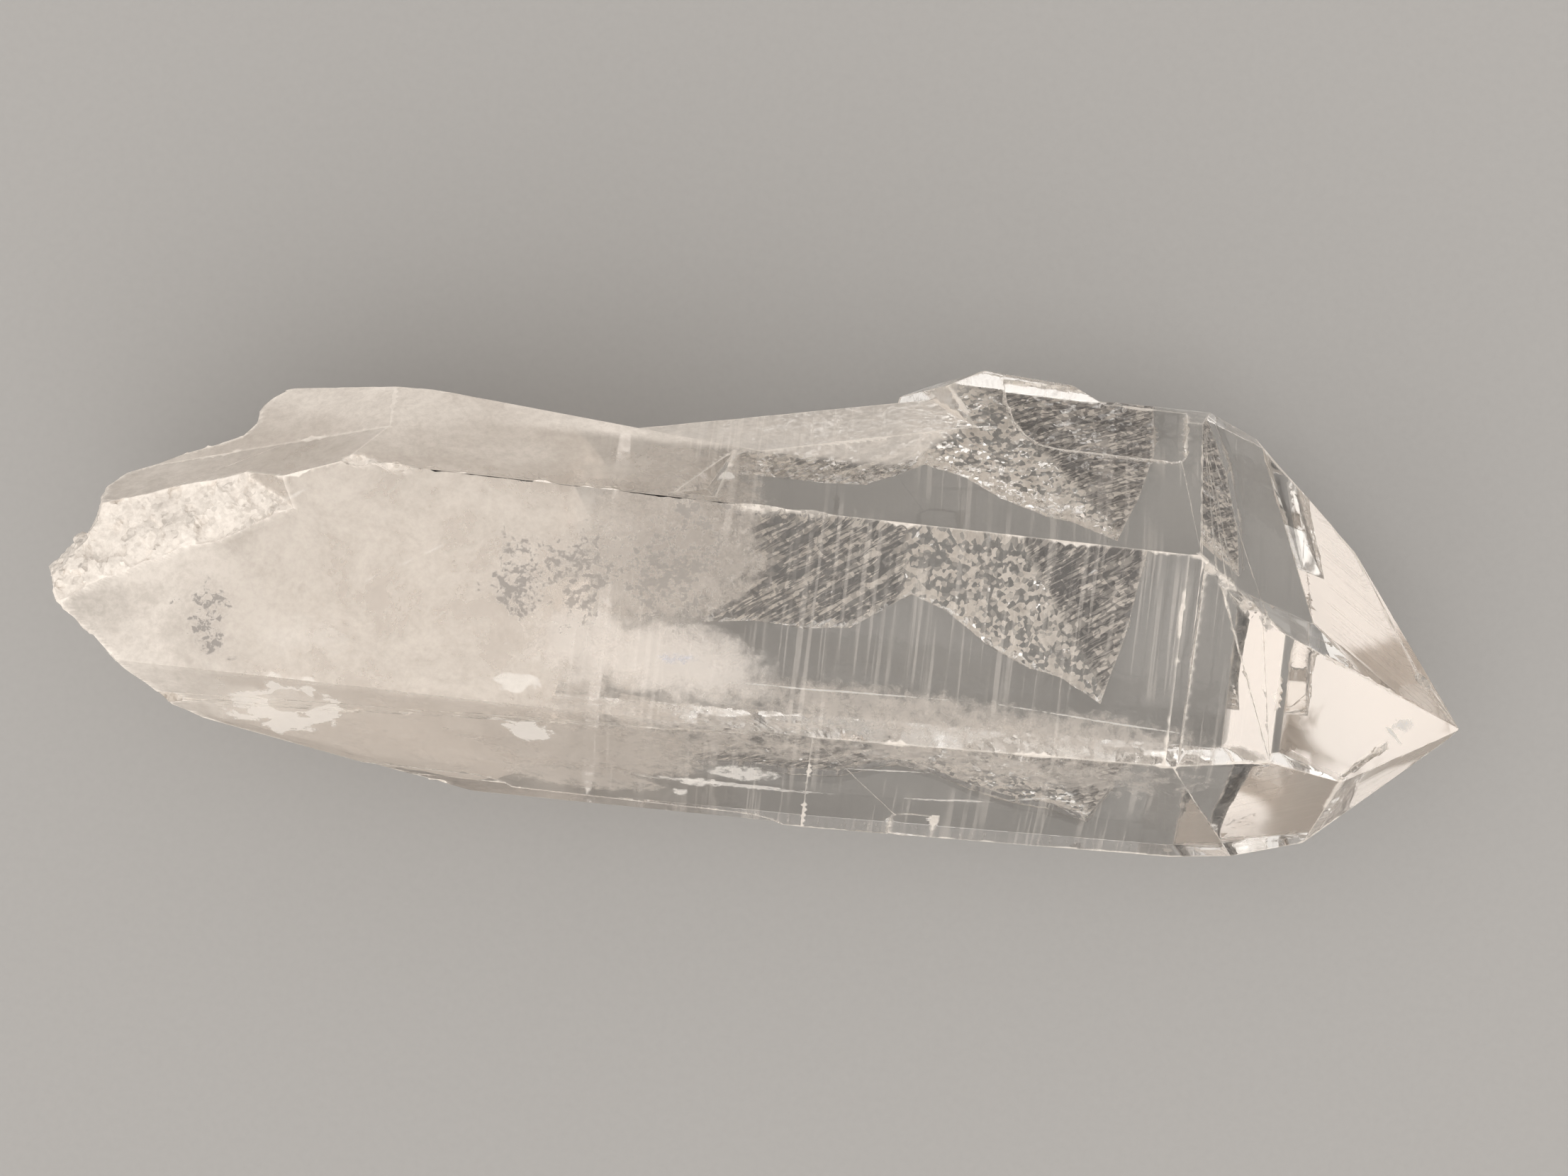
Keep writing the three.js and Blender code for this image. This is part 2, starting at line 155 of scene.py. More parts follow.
@dataclass
class Skin:
    """A triangle mesh as arrays, with the crystal face that each triangle lies on.

    Attributes:
        points: positions, metres.
        faces: three point numbers for each triangle.
        plane: the crystal face of each triangle, or -1 on a broken surface.
        normals: the outward direction of each crystal face.
    """

    points: np.ndarray
    faces: np.ndarray
    plane: np.ndarray = field(default_factory=lambda: np.zeros(0, int))
    normals: np.ndarray = field(default_factory=lambda: np.zeros((0, 3)))

    @classmethod
    def copied(cls, source: bpy.types.Object, weld: float = 2e-6) -> "Skin":
        """Copies an object's triangles, with points closer than the weld distance made one."""
        mesh = source.data
        mesh.calc_loop_triangles()
        co = np.empty(len(mesh.vertices) * 3, np.float32)
        mesh.vertices.foreach_get("co", co)
        tri = np.empty(len(mesh.loop_triangles) * 3, np.int32)
        mesh.loop_triangles.foreach_get("vertices", tri)
        world = np.array(source.matrix_world)
        places = co.reshape(-1, 3).astype(float) @ world[:3, :3].T + world[:3, 3]
        _, first, back = np.unique(
            np.round(places / weld).astype(np.int64), axis=0, return_index=True, return_inverse=True
        )
        faces = back.reshape(-1)[tri.reshape(-1, 3)]
        whole = (faces != np.roll(faces, -1, axis=1)).all(axis=1)
        return cls(places[first], faces[whole])

    def face_normals(self) -> tuple[np.ndarray, np.ndarray]:
        """The outward direction and the area of each triangle."""
        a, b, c = (self.points[self.faces[:, k]] for k in range(3))
        cross = np.cross(b - a, c - a)
        size = np.linalg.norm(cross, axis=1)
        return cross / np.maximum(size, 1e-30)[:, None], size / 2.0

    def find_crystal_faces(self, smallest: float) -> None:
        """Groups triangles that share a plane, and keeps groups larger than the smallest area."""
        normal, area = self.face_normals()
        offset = np.einsum("ij,ij->i", normal, self.points[self.faces[:, 0]])
        key = np.column_stack([np.round(normal * 60.0), np.round(offset / (0.12 * MM))])
        _, group = np.unique(key.astype(np.int64), axis=0, return_inverse=True)
        group = group.reshape(-1)
        total = np.bincount(group, weights=area)
        large = np.flatnonzero(total > smallest)
        number = np.full(len(total), -1)
        number[large] = np.arange(len(large))
        self.plane = number[group]
        sums = np.stack([np.bincount(group, normal[:, k] * area) for k in range(3)], axis=1)[large]
        self.normals = sums / np.linalg.norm(sums, axis=1)[:, None]

    def edges(self) -> tuple[np.ndarray, np.ndarray, np.ndarray]:
        """Each edge once, the edge of each triangle side, and the two triangles on each edge."""
        sides = np.sort(self.faces[:, [[0, 1], [1, 2], [2, 0]]], axis=2).reshape(-1, 2)
        code = sides[:, 0].astype(np.int64) * len(self.points) + sides[:, 1]
        _, first, back, count = np.unique(
            code, return_index=True, return_inverse=True, return_counts=True)
        pairs, back = sides[first], back.reshape(-1)
        order = np.argsort(back, kind="stable")
        start = np.concatenate([[0], np.cumsum(count)[:-1]])
        both = np.stack([order[start], order[start + count - 1]], axis=1) // 3
        return pairs, back.reshape(-1, 3), both

    def refine(self, fine: float, edge: float, coarse: float, rounds: int = 14) -> None:
        """Halves each side that is too long, until none is.

        Args:
            fine: longest side on a broken surface.
            edge: longest side on or beside an edge of the crystal.
            coarse: longest side elsewhere.
            rounds: most times that a side is halved.
        """
        for _ in range(rounds):
            pairs, side, both = self.edges()
            ends = self.points[pairs]
            length = np.linalg.norm(ends[:, 0] - ends[:, 1], axis=1)
            kinds = self.plane[both]
            ridge = kinds[:, 0] != kinds[:, 1]
            on_ridge = np.zeros(len(self.points), bool)
            on_ridge[pairs[ridge].reshape(-1)] = True
            goal = np.where(on_ridge[pairs].any(axis=1), 1.35 * edge, coarse)
            goal = np.where(ridge, edge, goal)
            goal = np.where((kinds < 0).any(axis=1), np.minimum(goal, fine), goal)
            long = length > goal
            if not long.any():
                return
            self._split(pairs, side, long)

    def _apart(self, first: np.ndarray, second: np.ndarray) -> np.ndarray:
        """How far apart two lists of points lie, pair by pair."""
        return np.linalg.norm(self.points[first] - self.points[second], axis=1)

    def _split(self, pairs: np.ndarray, side: np.ndarray, long: np.ndarray) -> None:
        """Puts a point in the middle of each long side and divides the triangles that have one."""
        middle = np.full(len(pairs), -1)
        middle[long] = len(self.points) + np.arange(long.sum())
        self.points = np.concatenate([self.points, self.points[pairs[long]].mean(axis=1)])
        mids = middle[side]
        split = mids >= 0
        count = split.sum(axis=1)
        turn = np.where(count == 1, split.argmax(axis=1), 0)
        turn = np.where(count == 2, ((~split).argmax(axis=1) + 1) % 3, turn)
        index = (turn[:, None] + np.arange(3)) % 3
        rows = np.arange(len(self.faces))[:, None]
        (a, b, c), (m, n, o) = self.faces[rows, index].T, mids[rows, index].T
        one, two, three = count == 1, count == 2, count == 3
        near = np.zeros(len(self.faces), bool)
        near[two] = self._apart(a[two], n[two]) < self._apart(m[two], c[two])
        far = two & ~near
        near = two & near
        stacks = [
            (count == 0, [(a, b, c)]),
            (one, [(a, m, c), (m, b, c)]),
            (near, [(m, b, n), (a, m, n), (a, n, c)]),
            (far, [(m, b, n), (m, n, c), (a, m, c)]),
            (three, [(a, m, o), (m, b, n), (o, n, c), (m, n, o)]),
        ]
        faces = [np.stack([p[k], q[k], r[k]], axis=1) for k, tris in stacks for p, q, r in tris]
        plane = [self.plane[k] for k, tris in stacks for _ in tris]
        self.faces, self.plane = np.concatenate(faces), np.concatenate(plane)

    def point_normals(self) -> np.ndarray:
        """The outward direction at each point, from the triangles round it weighted by area."""
        normal, area = self.face_normals()
        flat, count = self.faces.reshape(-1), len(self.points)
        total = np.stack([np.bincount(flat, np.repeat(normal[:, k] * area, 3), count)
                          for k in range(3)], axis=1)
        return total / np.maximum(np.linalg.norm(total, axis=1), 1e-30)[:, None]

    def broken_share(self) -> np.ndarray:
        """For each point, the share of the triangles round it that are broken surface."""
        flat = self.faces.reshape(-1)
        all_round = np.bincount(flat, minlength=len(self.points))
        broken = np.bincount(flat, np.repeat((self.plane < 0).astype(float), 3), len(self.points))
        return broken / np.maximum(all_round, 1)

    def keep_on_faces(self, moves: np.ndarray) -> np.ndarray:
        """Takes out of each point's move the part that would lift it off its crystal face."""
        kept = moves.copy()
        corner = self.faces.reshape(-1)
        plane = np.repeat(self.plane, 3)
        for _ in range(3):
            for number, normal in enumerate(self.normals):
                touched = np.unique(corner[plane == number])
                off = kept[touched] @ normal
                kept[touched] -= off[:, None] * normal
        return kept


def solid_object(name: str, points: np.ndarray, faces: np.ndarray) -> bpy.types.Object:
    """Makes a mesh object from arrays, smooth shaded, at the origin.

    Args:
        name: the piece's name.
        points: positions, metres.
        faces: three or four point numbers for each face.

    Returns:
        The new object, linked to the scene.
    """
    mesh = bpy.data.meshes.new(name)
    corners = faces.shape[1]
    mesh.vertices.add(len(points))
    mesh.vertices.foreach_set("co", points.astype(np.float32).reshape(-1))
    mesh.loops.add(faces.size)
    mesh.loops.foreach_set("vertex_index", faces.astype(np.int32).reshape(-1))
    mesh.polygons.add(len(faces))
    mesh.polygons.foreach_set("loop_start", np.arange(0, faces.size, corners, dtype=np.int32))
    mesh.polygons.foreach_set("use_smooth", np.ones(len(faces), bool))
    mesh.update(calc_edges=True)
    mesh.validate()
    made = bpy.data.objects.new(name, mesh)
    bpy.context.collection.objects.link(made)
    return made


def grid_faces(rows: int, columns: int, closed: bool = False) -> np.ndarray:
    """Four-sided faces over a grid of points stored row by row.

    Args:
        rows: how many rows of points.
        columns: how many points in a row.
        closed: whether the last column joins the first.

    Returns:
        Four point numbers for each face.
    """
    row, column = np.meshgrid(np.arange(rows - 1), np.arange(columns - (not closed)), indexing="ij")
    right = (column + 1) % columns
    a, b = row * columns + column, row * columns + right
    c, d = (row + 1) * columns + right, (row + 1) * columns + column
    return np.stack([a, b, c, d], axis=-1).reshape(-1, 4)


# ---- materials ---------------------------------------------------------------------------

Colour = tuple[float, float, float, float]
Ramp = tuple[float, float]  # where a mask is 0 and where it is 1, in millimetres or as a noise


def colour(red: float, green: float, blue: float) -> Colour:
    """A colour as shader sockets take it."""
    return red, green, blue, 1.0


@dataclass(frozen=True)
class Value:
    """A number at a node's socket. Arithmetic on it adds the Math nodes.

    Attributes:
        graph: the nodes that it belongs to.
        socket: the socket that gives it.
    """

    graph: "Graph"
    socket: Any

    def _math(self, operation: str, *others: Any, clamp: bool = False) -> "Value":
        """Adds one Math node."""
        settings = {"operation": operation, "use_clamp": clamp}
        values = {i: o for i, o in enumerate(others)}
        return self.graph.value("ShaderNodeMath", settings, values)

    def __add__(self, other: Any) -> "Value":
        """Self plus other."""
        return self._math("ADD", self, other)

    def __radd__(self, other: Any) -> "Value":
        """Other plus self."""
        return self._math("ADD", other, self)

    def __sub__(self, other: Any) -> "Value":
        """Self minus other."""
        return self._math("SUBTRACT", self, other)

    def __rsub__(self, other: Any) -> "Value":
        """Other minus self."""
        return self._math("SUBTRACT", other, self)

    def __mul__(self, other: Any) -> "Value":
        """Self times other."""
        return self._math("MULTIPLY", self, other)

    def __rmul__(self, other: Any) -> "Value":
        """Other times self."""
        return self._math("MULTIPLY", other, self)

    def __abs__(self) -> "Value":
        """The size of the number."""
        return self._math("ABSOLUTE", self)

    def most(self, other: Any) -> "Value":
        """The larger of the two."""
        return self._math("MAXIMUM", self, other)

    def clamped(self) -> "Value":
        """The number held between 0 and 1."""
        return self._math("ADD", self, 0.0, clamp=True)

    def rise(self, low: float, high: float) -> "Value":
        """An even ramp from 0 at low to 1 at high, eased at both ends. High may be below low."""
        if high < low:
            return 1.0 - self.rise(high, low)
        settings = {"interpolation_type": "SMOOTHSTEP"}
        return self.graph.value("ShaderNodeMapRange", settings, {0: self, 1: low, 2: high})

    def swing(self, size: float) -> "Value":
        """A noise from 0 to 1 made to swing by half the size to each side of nothing."""
        return (self - 0.5) * size


class Graph:
    """The nodes of one material, or of the room round the crystal."""

    def __init__(self, owner: Any) -> None:
        """Starts an empty tree on a material or a world."""
        self.owner = owner
        owner.use_nodes = True
        self.tree = owner.node_tree
        self.tree.nodes.clear()

    def node(self, kind: str, settings: dict[str, Any], inputs: dict[Any, Any]) -> Any:
        """Adds a node of any kind.

        Args:
            kind: the node's type name.
            settings: its properties, set before the sockets.
            inputs: socket name or number to a value, a Value or another node's socket.

        Returns:
            The node.
        """
        made = self.tree.nodes.new(kind)
        for name, setting in settings.items():
            setattr(made, name, setting)
        for name, given in inputs.items():
            socket = given.socket if isinstance(given, Value) else given
            if isinstance(socket, bpy.types.NodeSocket):
                self.tree.links.new(socket, made.inputs[name])
            else:
                made.inputs[name].default_value = socket
        return made

    def value(self, kind: str, settings: dict[str, Any], inputs: dict[Any, Any],
              out: int = 0) -> Value:
        """Adds a node and gives one of its outputs as a number."""
        return Value(self, self.node(kind, settings, inputs).outputs[out])

    def mark(self, name: str) -> Value:
        """A number that the mesh carries under a name."""
        return self.value("ShaderNodeAttribute", {"attribute_name": name}, {}, 2)

    def place(self) -> Any:
        """The position on the object, in millimetres."""
        coordinates = self.node("ShaderNodeTexCoord", {}, {})
        scaled = self.node("ShaderNodeVectorMath", {"operation": "SCALE"},
                           {0: coordinates.outputs["Object"], "Scale": 1.0 / MM})
        return scaled.outputs[0]

    def stretched(self, place: Any, by: tuple[float, float, float], turn: float = 0.0) -> Any:
        """A position scaled on each axis, after a turn about Z in degrees."""
        turned = self.node("ShaderNodeMapping", {"vector_type": "POINT"},
                           {0: place, "Rotation": (0.0, 0.0, math.radians(turn))})
        return self.node("ShaderNodeVectorMath", {"operation": "MULTIPLY"},
                         {0: turned.outputs[0], 1: by}).outputs[0]

    def noise(self, place: Any, size: float, detail: float = 3.0, rough: float = 0.55,
              bend: float = 0.0) -> Value:
        """Soft noise from 0 to 1 whose lumps are about the given size in millimetres."""
        return self.value("ShaderNodeTexNoise", {"noise_dimensions": "3D"},
                          {"Vector": place, "Scale": 1.0 / size, "Detail": detail,
                           "Roughness": rough, "Distortion": bend})

    def vector(self, operation: str, first: Any, second: Any = (0.0, 0.0, 0.0)) -> Any:
        """Adds one vector node and gives its result. A scaling takes a number as its second."""
        sockets = {0: first, "Scale" if operation == "SCALE" else 1: second}
        return self.node("ShaderNodeVectorMath", {"operation": operation}, sockets).outputs[0]

    def flats(self, place: Any, size: float) -> tuple[Any, Value]:
        """Small broken flats, one in each cell of the given size in millimetres.

        Returns:
            The way in which each flat leans, from -1 to 1 on each axis; and a number from 0 to 1
            that is the same all over one flat.
        """
        cell = self.node("ShaderNodeTexVoronoi", {"feature": "F1"},
                         {"Vector": place, "Scale": 1.0 / size})
        lean = self.vector("MULTIPLY_ADD", cell.outputs["Color"], (2.0, 2.0, 2.0))
        lean.node.inputs[2].default_value = (-1.0, -1.0, -1.0)
        own = self.node("ShaderNodeSeparateXYZ", {}, {0: cell.outputs["Color"]})
        return lean, Value(self, own.outputs[0])

    def streaks(self, place: Any, by: tuple[float, float, float], turn: float) -> Any:
        """Fine streaks as a leaning, from -0.5 to 0.5 on each axis."""
        made = self.node("ShaderNodeTexNoise", {"noise_dimensions": "3D"},
                         {"Vector": self.stretched(place, by, turn), "Scale": 1.0, "Detail": 2.0})
        return self.vector("SUBTRACT", made.outputs["Color"], (0.5, 0.5, 0.5))

    def leaning(self, *leans: tuple[Any, Any]) -> Any:
        """The surface's own direction, leaned by each vector times its amount."""
        surface = self.node("ShaderNodeNewGeometry", {}, {})
        total = (0.0, 0.0, 0.0)
        for lean, amount in leans:
            total = self.vector("ADD", self.vector("SCALE", lean, amount), total)
        side = 1.0 - 2.0 * Value(self, surface.outputs["Backfacing"])
        leaned = self.vector("ADD", surface.outputs["Normal"], self.vector("SCALE", total, side))
        return self.vector("NORMALIZE", leaned)

    def blend(self, amount: Value, low: Any, high: Any) -> Any:
        """A colour between two, by an amount from 0 to 1."""
        made = self.node("ShaderNodeMix", {"data_type": "RGBA"}, {0: amount, 6: low, 7: high})
        return made.outputs[2]

    def bump(self, height: Value, depth: float, strength: float) -> Any:
        """A normal from a height, whose full range is the given depth in millimetres."""
        inputs = {"Height": height, "Distance": depth * MM, "Strength": strength}
        return self.node("ShaderNodeBump", {}, inputs).outputs[0]

    def finish(self, surface: Any, volume: Any = None) -> bpy.types.Material:
        """Joins the last shaders to the output and gives the material."""
        inputs = {"Surface": surface} if volume is None else {"Surface": surface, "Volume": volume}
        self.node("ShaderNodeOutputMaterial", {}, inputs)
        return self.owner


@dataclass(frozen=True)
class Spot:
    """What the finish of the stone reads at a place on its skin.

    Attributes:
        g: the material's nodes.
        place: the position, millimetres.
        x: its first part, along the crystal.
        y: its second part, across it.
        z: its third part, upward.
        broken: how broken the surface is, from 0 to 1.
        edge: how worn an edge is there, from 0 to 1.
        mottle: noise in wide lumps.
        torn: noise in middling lumps.
        fine: noise in small lumps.
    """

    g: Graph
    place: Any
    x: Value
    y: Value
    z: Value
    broken: Value
    edge: Value
    mottle: Value
    torn: Value
    fine: Value

    @classmethod
    def read(cls, g: Graph) -> "Spot":
        """Adds the nodes that read the position, the mesh's marks and the three noises."""
        place = g.place()
        split = g.node("ShaderNodeSeparateXYZ", {}, {0: place})
        x, y, z = (Value(g, socket) for socket in split.outputs)
        return cls(g, place, x, y, z, g.mark("broken"), g.mark("edge"),
                   mottle=g.noise(place, 6.0, 5.0, 0.7, 0.3),
                   torn=g.noise(place, 3.4, 3.0, 0.65),
                   fine=g.noise(place, 0.55, 3.0, 0.75, 0.4))


@dataclass(frozen=True)
class Specks:
    """Dark specks that crowd together in clusters.

    Attributes:
        clusters: where they crowd, as X, Y and how far out, millimetres.
        stray_x: how far noise pushes a cluster's outline about along X, millimetres.
        stray_y: the same along Y.
        gaps: the noise over which a cluster fills up.
        sparse: how crowded a cluster is in its gaps.
        dense: how much more crowded it is elsewhere.
        faint: the noise over which single specks turn up between the clusters.
        single: how crowded those are.
        pull: how much crowding widens the specks.
        size: the noise over which a speck appears.
        least: the crowding over which specks appear at all.
    """

    clusters: tuple[tuple[float, float, float], ...] = (
        (-42.8, -5.8, 3.4), (-14.9, -4.2, 2.0), (-14.2, 1.4, 4.5), (-7.5, 2.5, 6.0),
        (-5.0, 6.5, 4.0), (-19.4, 1.0, 3.8))
    stray_x: float = 14.0
    stray_y: float = 12.0
    gaps: Ramp = (0.3, 0.6)
    sparse: float = 0.3
    dense: float = 0.9
    faint: Ramp = (0.36, 0.26)
    single: float = 0.5
    pull: float = 0.18
    size: Ramp = (0.6, 0.72)
    least: Ramp = (0.0, 0.5)

    def share(self, at: Spot) -> Value:
        """How much of a speck there is at a place."""
        near = self._nearness(at.x + at.mottle.swing(self.stray_x),
                              at.y + at.torn.swing(self.stray_y))
        crowd = (near * (self.sparse + self.dense * at.torn.rise(*self.gaps))
                 + at.mottle.rise(*self.faint) * self.single)
        return (at.fine + self.pull * crowd).rise(*self.size) * crowd.rise(*self.least)

    def _nearness(self, x: Value, y: Value) -> Value:
        """How close a place is to the nearest cluster, from 0 to 1."""
        total = None
        for middle_x, middle_y, out in self.clusters:
            away = (x - middle_x) * (x - middle_x) + (y - middle_y) * (y - middle_y)
            near = away.rise(out * out, 0.0)
            total = near if total is None else total.most(near)
        return total


@dataclass(frozen=True)
class Satin:
    """The dull satin patch on the upper side, beside the waist.

    Attributes:
        side: positions along Y over which it sets in.
        point_end: positions along X over which it ends toward the point.
        root_end: the same toward the root.
        top: heights over which it ends at the top.
        foot: heights over which it sets in at the bottom.
        dip: how far its top edge drops toward the point, millimetres.
        dip_over: positions along X over which it drops.
        ragged: how far noise pushes its top edge about, millimetres.
    """

    side: Ramp = (6.0, 9.0)
    point_end: Ramp = (15.0, 11.5)
    root_end: Ramp = (-30.0, -12.0)
    top: Ramp = (25.2, 23.8)
    foot: Ramp = (10.0, 13.0)
    dip: float = 5.0
    dip_over: Ramp = (8.0, 15.0)
    ragged: float = 1.6

    def share(self, at: Spot) -> Value:
        """How much of the patch there is at a place."""
        height = at.z + self.dip * at.x.rise(*self.dip_over) + at.mottle.swing(self.ragged)
        return (at.y.rise(*self.side) * at.x.rise(*self.point_end) * at.x.rise(*self.root_end)
                * height.rise(*self.top) * at.z.rise(*self.foot))


@dataclass(frozen=True)
class Hollow:
    """The etched hollow in the underside: streaked flanks darkened with painted shade, and a band
    between them painted bright as a reflection.

    Attributes:
        roof: heights over which it ends.
        start: positions along X over which it sets in.
        ragged: how far noise pushes its start about, millimetres.
        band_from: position along X where the band starts.
        band_to: distance across the band, along band_way, where it stops.
        band_way: direction across the band, as X and Y.
        band_soft: how soft the band's edges are to each side, millimetres.
        right_over: how far past the band's start the right side of the hollow sets in, millimetres.
        streak_by: how closely the flanks' streaks lie, along and across them.
        streak_turn: how far the streaks are turned about Z, degrees.
        streak: the noise over which a streak appears.
        wall_x: positions along X over which the end wall sets in.
        wall_y: the same along Y.
    """

    roof: Ramp = (4.2, 3.4)
    start: Ramp = (-9.0, -3.0)
    ragged: float = 9.0
    band_from: float = 10.8
    band_to: float = 19.7
    band_way: tuple[float, float] = (0.82, 0.57)
    band_soft: float = 0.4
    right_over: float = 4.0
    streak_by: tuple[float, float, float] = (2.6, 0.3, 1.0)
    streak_turn: float = 54.0
    streak: Ramp = (0.48, 0.54)
    wall_x: Ramp = (26.4, 27.2)
    wall_y: Ramp = (-10.0, -8.5)

    def under(self, at: Spot) -> Value:
        """Whether a place is in the hollow."""
        return at.z.rise(*self.roof) * (at.x + at.fine.swing(self.ragged)).rise(*self.start)

    def band(self, at: Spot) -> Value:
        """Whether a place is in the band that is painted bright."""
        across = at.x * self.band_way[0] + at.y * self.band_way[1]
        return (at.x.rise(self.band_from - self.band_soft, self.band_from + self.band_soft)
                * across.rise(self.band_to + self.band_soft, self.band_to - self.band_soft))

    def right(self, at: Spot) -> Value:
        """Whether a place is past the start of the band."""
        return at.x.rise(self.band_from, self.band_from + self.right_over)

    def streaks(self, at: Spot) -> Value:
        """The pale streaks of the flanks."""
        lines = at.g.stretched(at.place, self.streak_by, self.streak_turn)
        return at.g.noise(lines, 1.0, 3.0, 0.65, 0.8).rise(*self.streak)

    def wall(self, at: Spot) -> Value:
        """Whether a place is on the hollow's end wall."""
        return at.x.rise(*self.wall_x) * at.y.rise(*self.wall_y)


@dataclass(frozen=True)
class Stripes:
    """Thin pale stripes along the growth lines, in patches.

    Attributes:
        line_by: how closely the stripes lie, along and across them.
        line: the noise over which a stripe appears.
        patch_by: how closely the patches lie.
        patch: the noise over which a patch appears.
        amount: how pale the stripes are.
        end: positions along X over which they end toward the point.
        foot: heights over which they set in.
    """

    line_by: tuple[float, float, float] = (2.2, 0.04, 0.04)
    line: Ramp = (0.5, 0.64)
    patch_by: tuple[float, float, float] = (0.16, 0.09, 0.09)
    patch: Ramp = (0.4, 0.56)
    amount: float = 0.18
    end: Ramp = (38.5, 36.0)
    foot: Ramp = (1.0, 3.0)

    def share(self, at: Spot) -> Value:
        """How much of a stripe there is at a place."""
        lines = at.g.noise(at.g.stretched(at.place, self.line_by), 1.0, 2.0, 0.6).rise(*self.line)
        patches = at.g.noise(at.g.stretched(at.place, self.patch_by), 1.0, 1.0).rise(*self.patch)
        return lines * patches * self.amount * at.x.rise(*self.end) * at.z.rise(*self.foot)


@dataclass(frozen=True)
class QuartzFinish:
    """Clear quartz that turns milky toward the root and frosted where it is broken.

    Attributes:
        clear: tint of the clear stone.
        milk: colour of the cloudy stone.
        shade: colour of the thinner cloud.
        flank_shade_and_speck: painted shade on the hollow's flanks, and the colour of the dark
            specks.
        depth_tint: colour that the stone takes through its thickness.
        depth_density: how strongly it takes it, per metre.
        cloudy: positions along X over which the stone turns from clear to milky.
        ragged: how far noise pushes that change about, millimetres.
        thin_side: positions along Y over which the cloud thins on the lower side.
        thin_from: positions along X over which it does so.
        thin_ragged: how far noise pushes the latter about, millimetres.
        root_end: positions along X over which the root turns whiter.
        knob_side: positions along Y over which the upper shoulder turns whiter.
        knob_end: the same along X.
        upper_side: positions along Y over which the upper side is painted lighter.
        skin_milk: share of cloud at the skin itself.
        milky_rough: roughness of the cloudy skin.
        frost: share of white frost on a broken surface.
        worn: wear over which an edge turns white.
        small_flat: size of the small broken flats, millimetres.
        large_flat: size of the large ones.
        growth_by: how closely the growth lines lie, along and across them.
        growth_lean: how far they lean the surface.
        growth_end: positions along X over which they end toward the point.
        growth_foot: heights over which they set in.
        edge_wear_and_highlight: share of cloud at a worn edge: white wear, and partly a painted
            highlight along the edge.
        speck_white: share of dull surface at a speck.
        rim_white: share of cloud along the rim of a broken surface.
        satin_white: share of cloud in the satin patch.
        root_white: share of cloud that the root has on top.
        upper_painted_light: share of cloud added on the upper side: painted light, as if more light
            falls on that side.
        specks: the dark specks.
        satin: the dull patch on the upper side.
        hollow: the hollow in the underside.
        stripes: the stripes along the growth lines.
    """

    clear: Colour = colour(0.985, 0.975, 0.96)
    milk: Colour = colour(0.9, 0.84, 0.775)
    shade: Colour = colour(0.7, 0.645, 0.59)
    flank_shade_and_speck: Colour = colour(0.1, 0.09, 0.085)
    depth_tint: Colour = colour(0.8, 0.76, 0.71)
    depth_density: float = 2.0
    cloudy: Ramp = (2.0, -22.0)
    ragged: float = 26.0
    thin_side: Ramp = (-9.4, -10.4)
    thin_from: Ramp = (-45.0, -41.0)
    thin_ragged: float = 6.0
    root_end: Ramp = (-38.0, -48.0)
    knob_side: Ramp = (9.0, 11.5)
    knob_end: Ramp = (-22.0, -31.0)
    upper_side: Ramp = (8.0, 9.5)
    skin_milk: float = 0.42
    milky_rough: float = 0.35
    frost: float = 0.85
    worn: Ramp = (0.08, 0.4)
    small_flat: float = 0.36
    large_flat: float = 0.9
    growth_by: tuple[float, float, float] = (1.6, 0.07, 0.07)
    growth_lean: float = 0.012
    growth_end: Ramp = (39.0, 35.0)
    growth_foot: Ramp = (1.0, 3.0)
    edge_wear_and_highlight: float = 0.75
    speck_white: float = 0.5
    rim_white: float = 0.2
    satin_white: float = 0.62
    root_white: float = 0.3
    upper_painted_light: float = 0.2
    specks: Specks = Specks()
    satin: Satin = Satin()
    hollow: Hollow = Hollow()
    stripes: Stripes = Stripes()

    def material(self) -> bpy.types.Material:
        """Builds the material: clear and cloudy stone, mixed by the share of cloud at the skin.

        Each mask is multiplied by how strongly it shows, and the cloud's share is their sum held
        between 0 and 1.
        """
        g = Graph(bpy.data.materials.new("milky_quartz"))
        at = Spot.read(g)
        along = (at.x + g.noise(at.place, 9.0, 2.0, 0.6).swing(self.ragged)).rise(*self.cloudy)
        speck = self.specks.share(at)
        under, band = self.hollow.under(at), self.hollow.band(at)
        right, streak = self.hollow.right(at), self.hollow.streaks(at)
        sides = under * (1.0 - band)
        small, small_own = g.flats(at.place, self.small_flat)
        large, large_own = g.flats(at.place, self.large_flat)
        flats = at.broken * (1.0 - 0.4 * sides)
        growth = self.growth_lean * at.x.rise(*self.growth_end) * at.z.rise(*self.growth_foot)
        normal = g.leaning((large, 0.3 * flats), (small, 0.24 * flats),
                           (g.streaks(at.place, self.growth_by, 0.0), growth))
        clear = g.node("ShaderNodeBsdfPrincipled", {},
                       {"Base Color": self.clear, "Roughness": 0.0, "IOR": QUARTZ_IOR,
                        "Transmission Weight": 1.0, "Normal": normal})

        thick = (0.45 * at.mottle.rise(0.2, 0.75) + 0.9 * at.fine.rise(0.25, 0.75)).clamped()
        tint = g.blend(0.75 * speck, g.blend(thick, self.shade, self.milk), self.flank_shade_and_speck)
        # The hollow's flanks are darkened with painted shade, all but their pale streaks and some
        # small flats; the dark specks are the stone's own.
        pale = streak * (0.3 + 0.7 * small_own) + 0.5 * small_own.rise(0.6, 0.8)
        pale = pale * (1.0 - 0.4 * right)
        tint = g.blend(at.broken * sides * (1.0 - pale).clamped(), tint, self.flank_shade_and_speck)
        milky = g.node("ShaderNodeBsdfPrincipled", {},
                       {"Base Color": tint, "Roughness": self.milky_rough, "IOR": QUARTZ_IOR,
                        "Normal": normal})

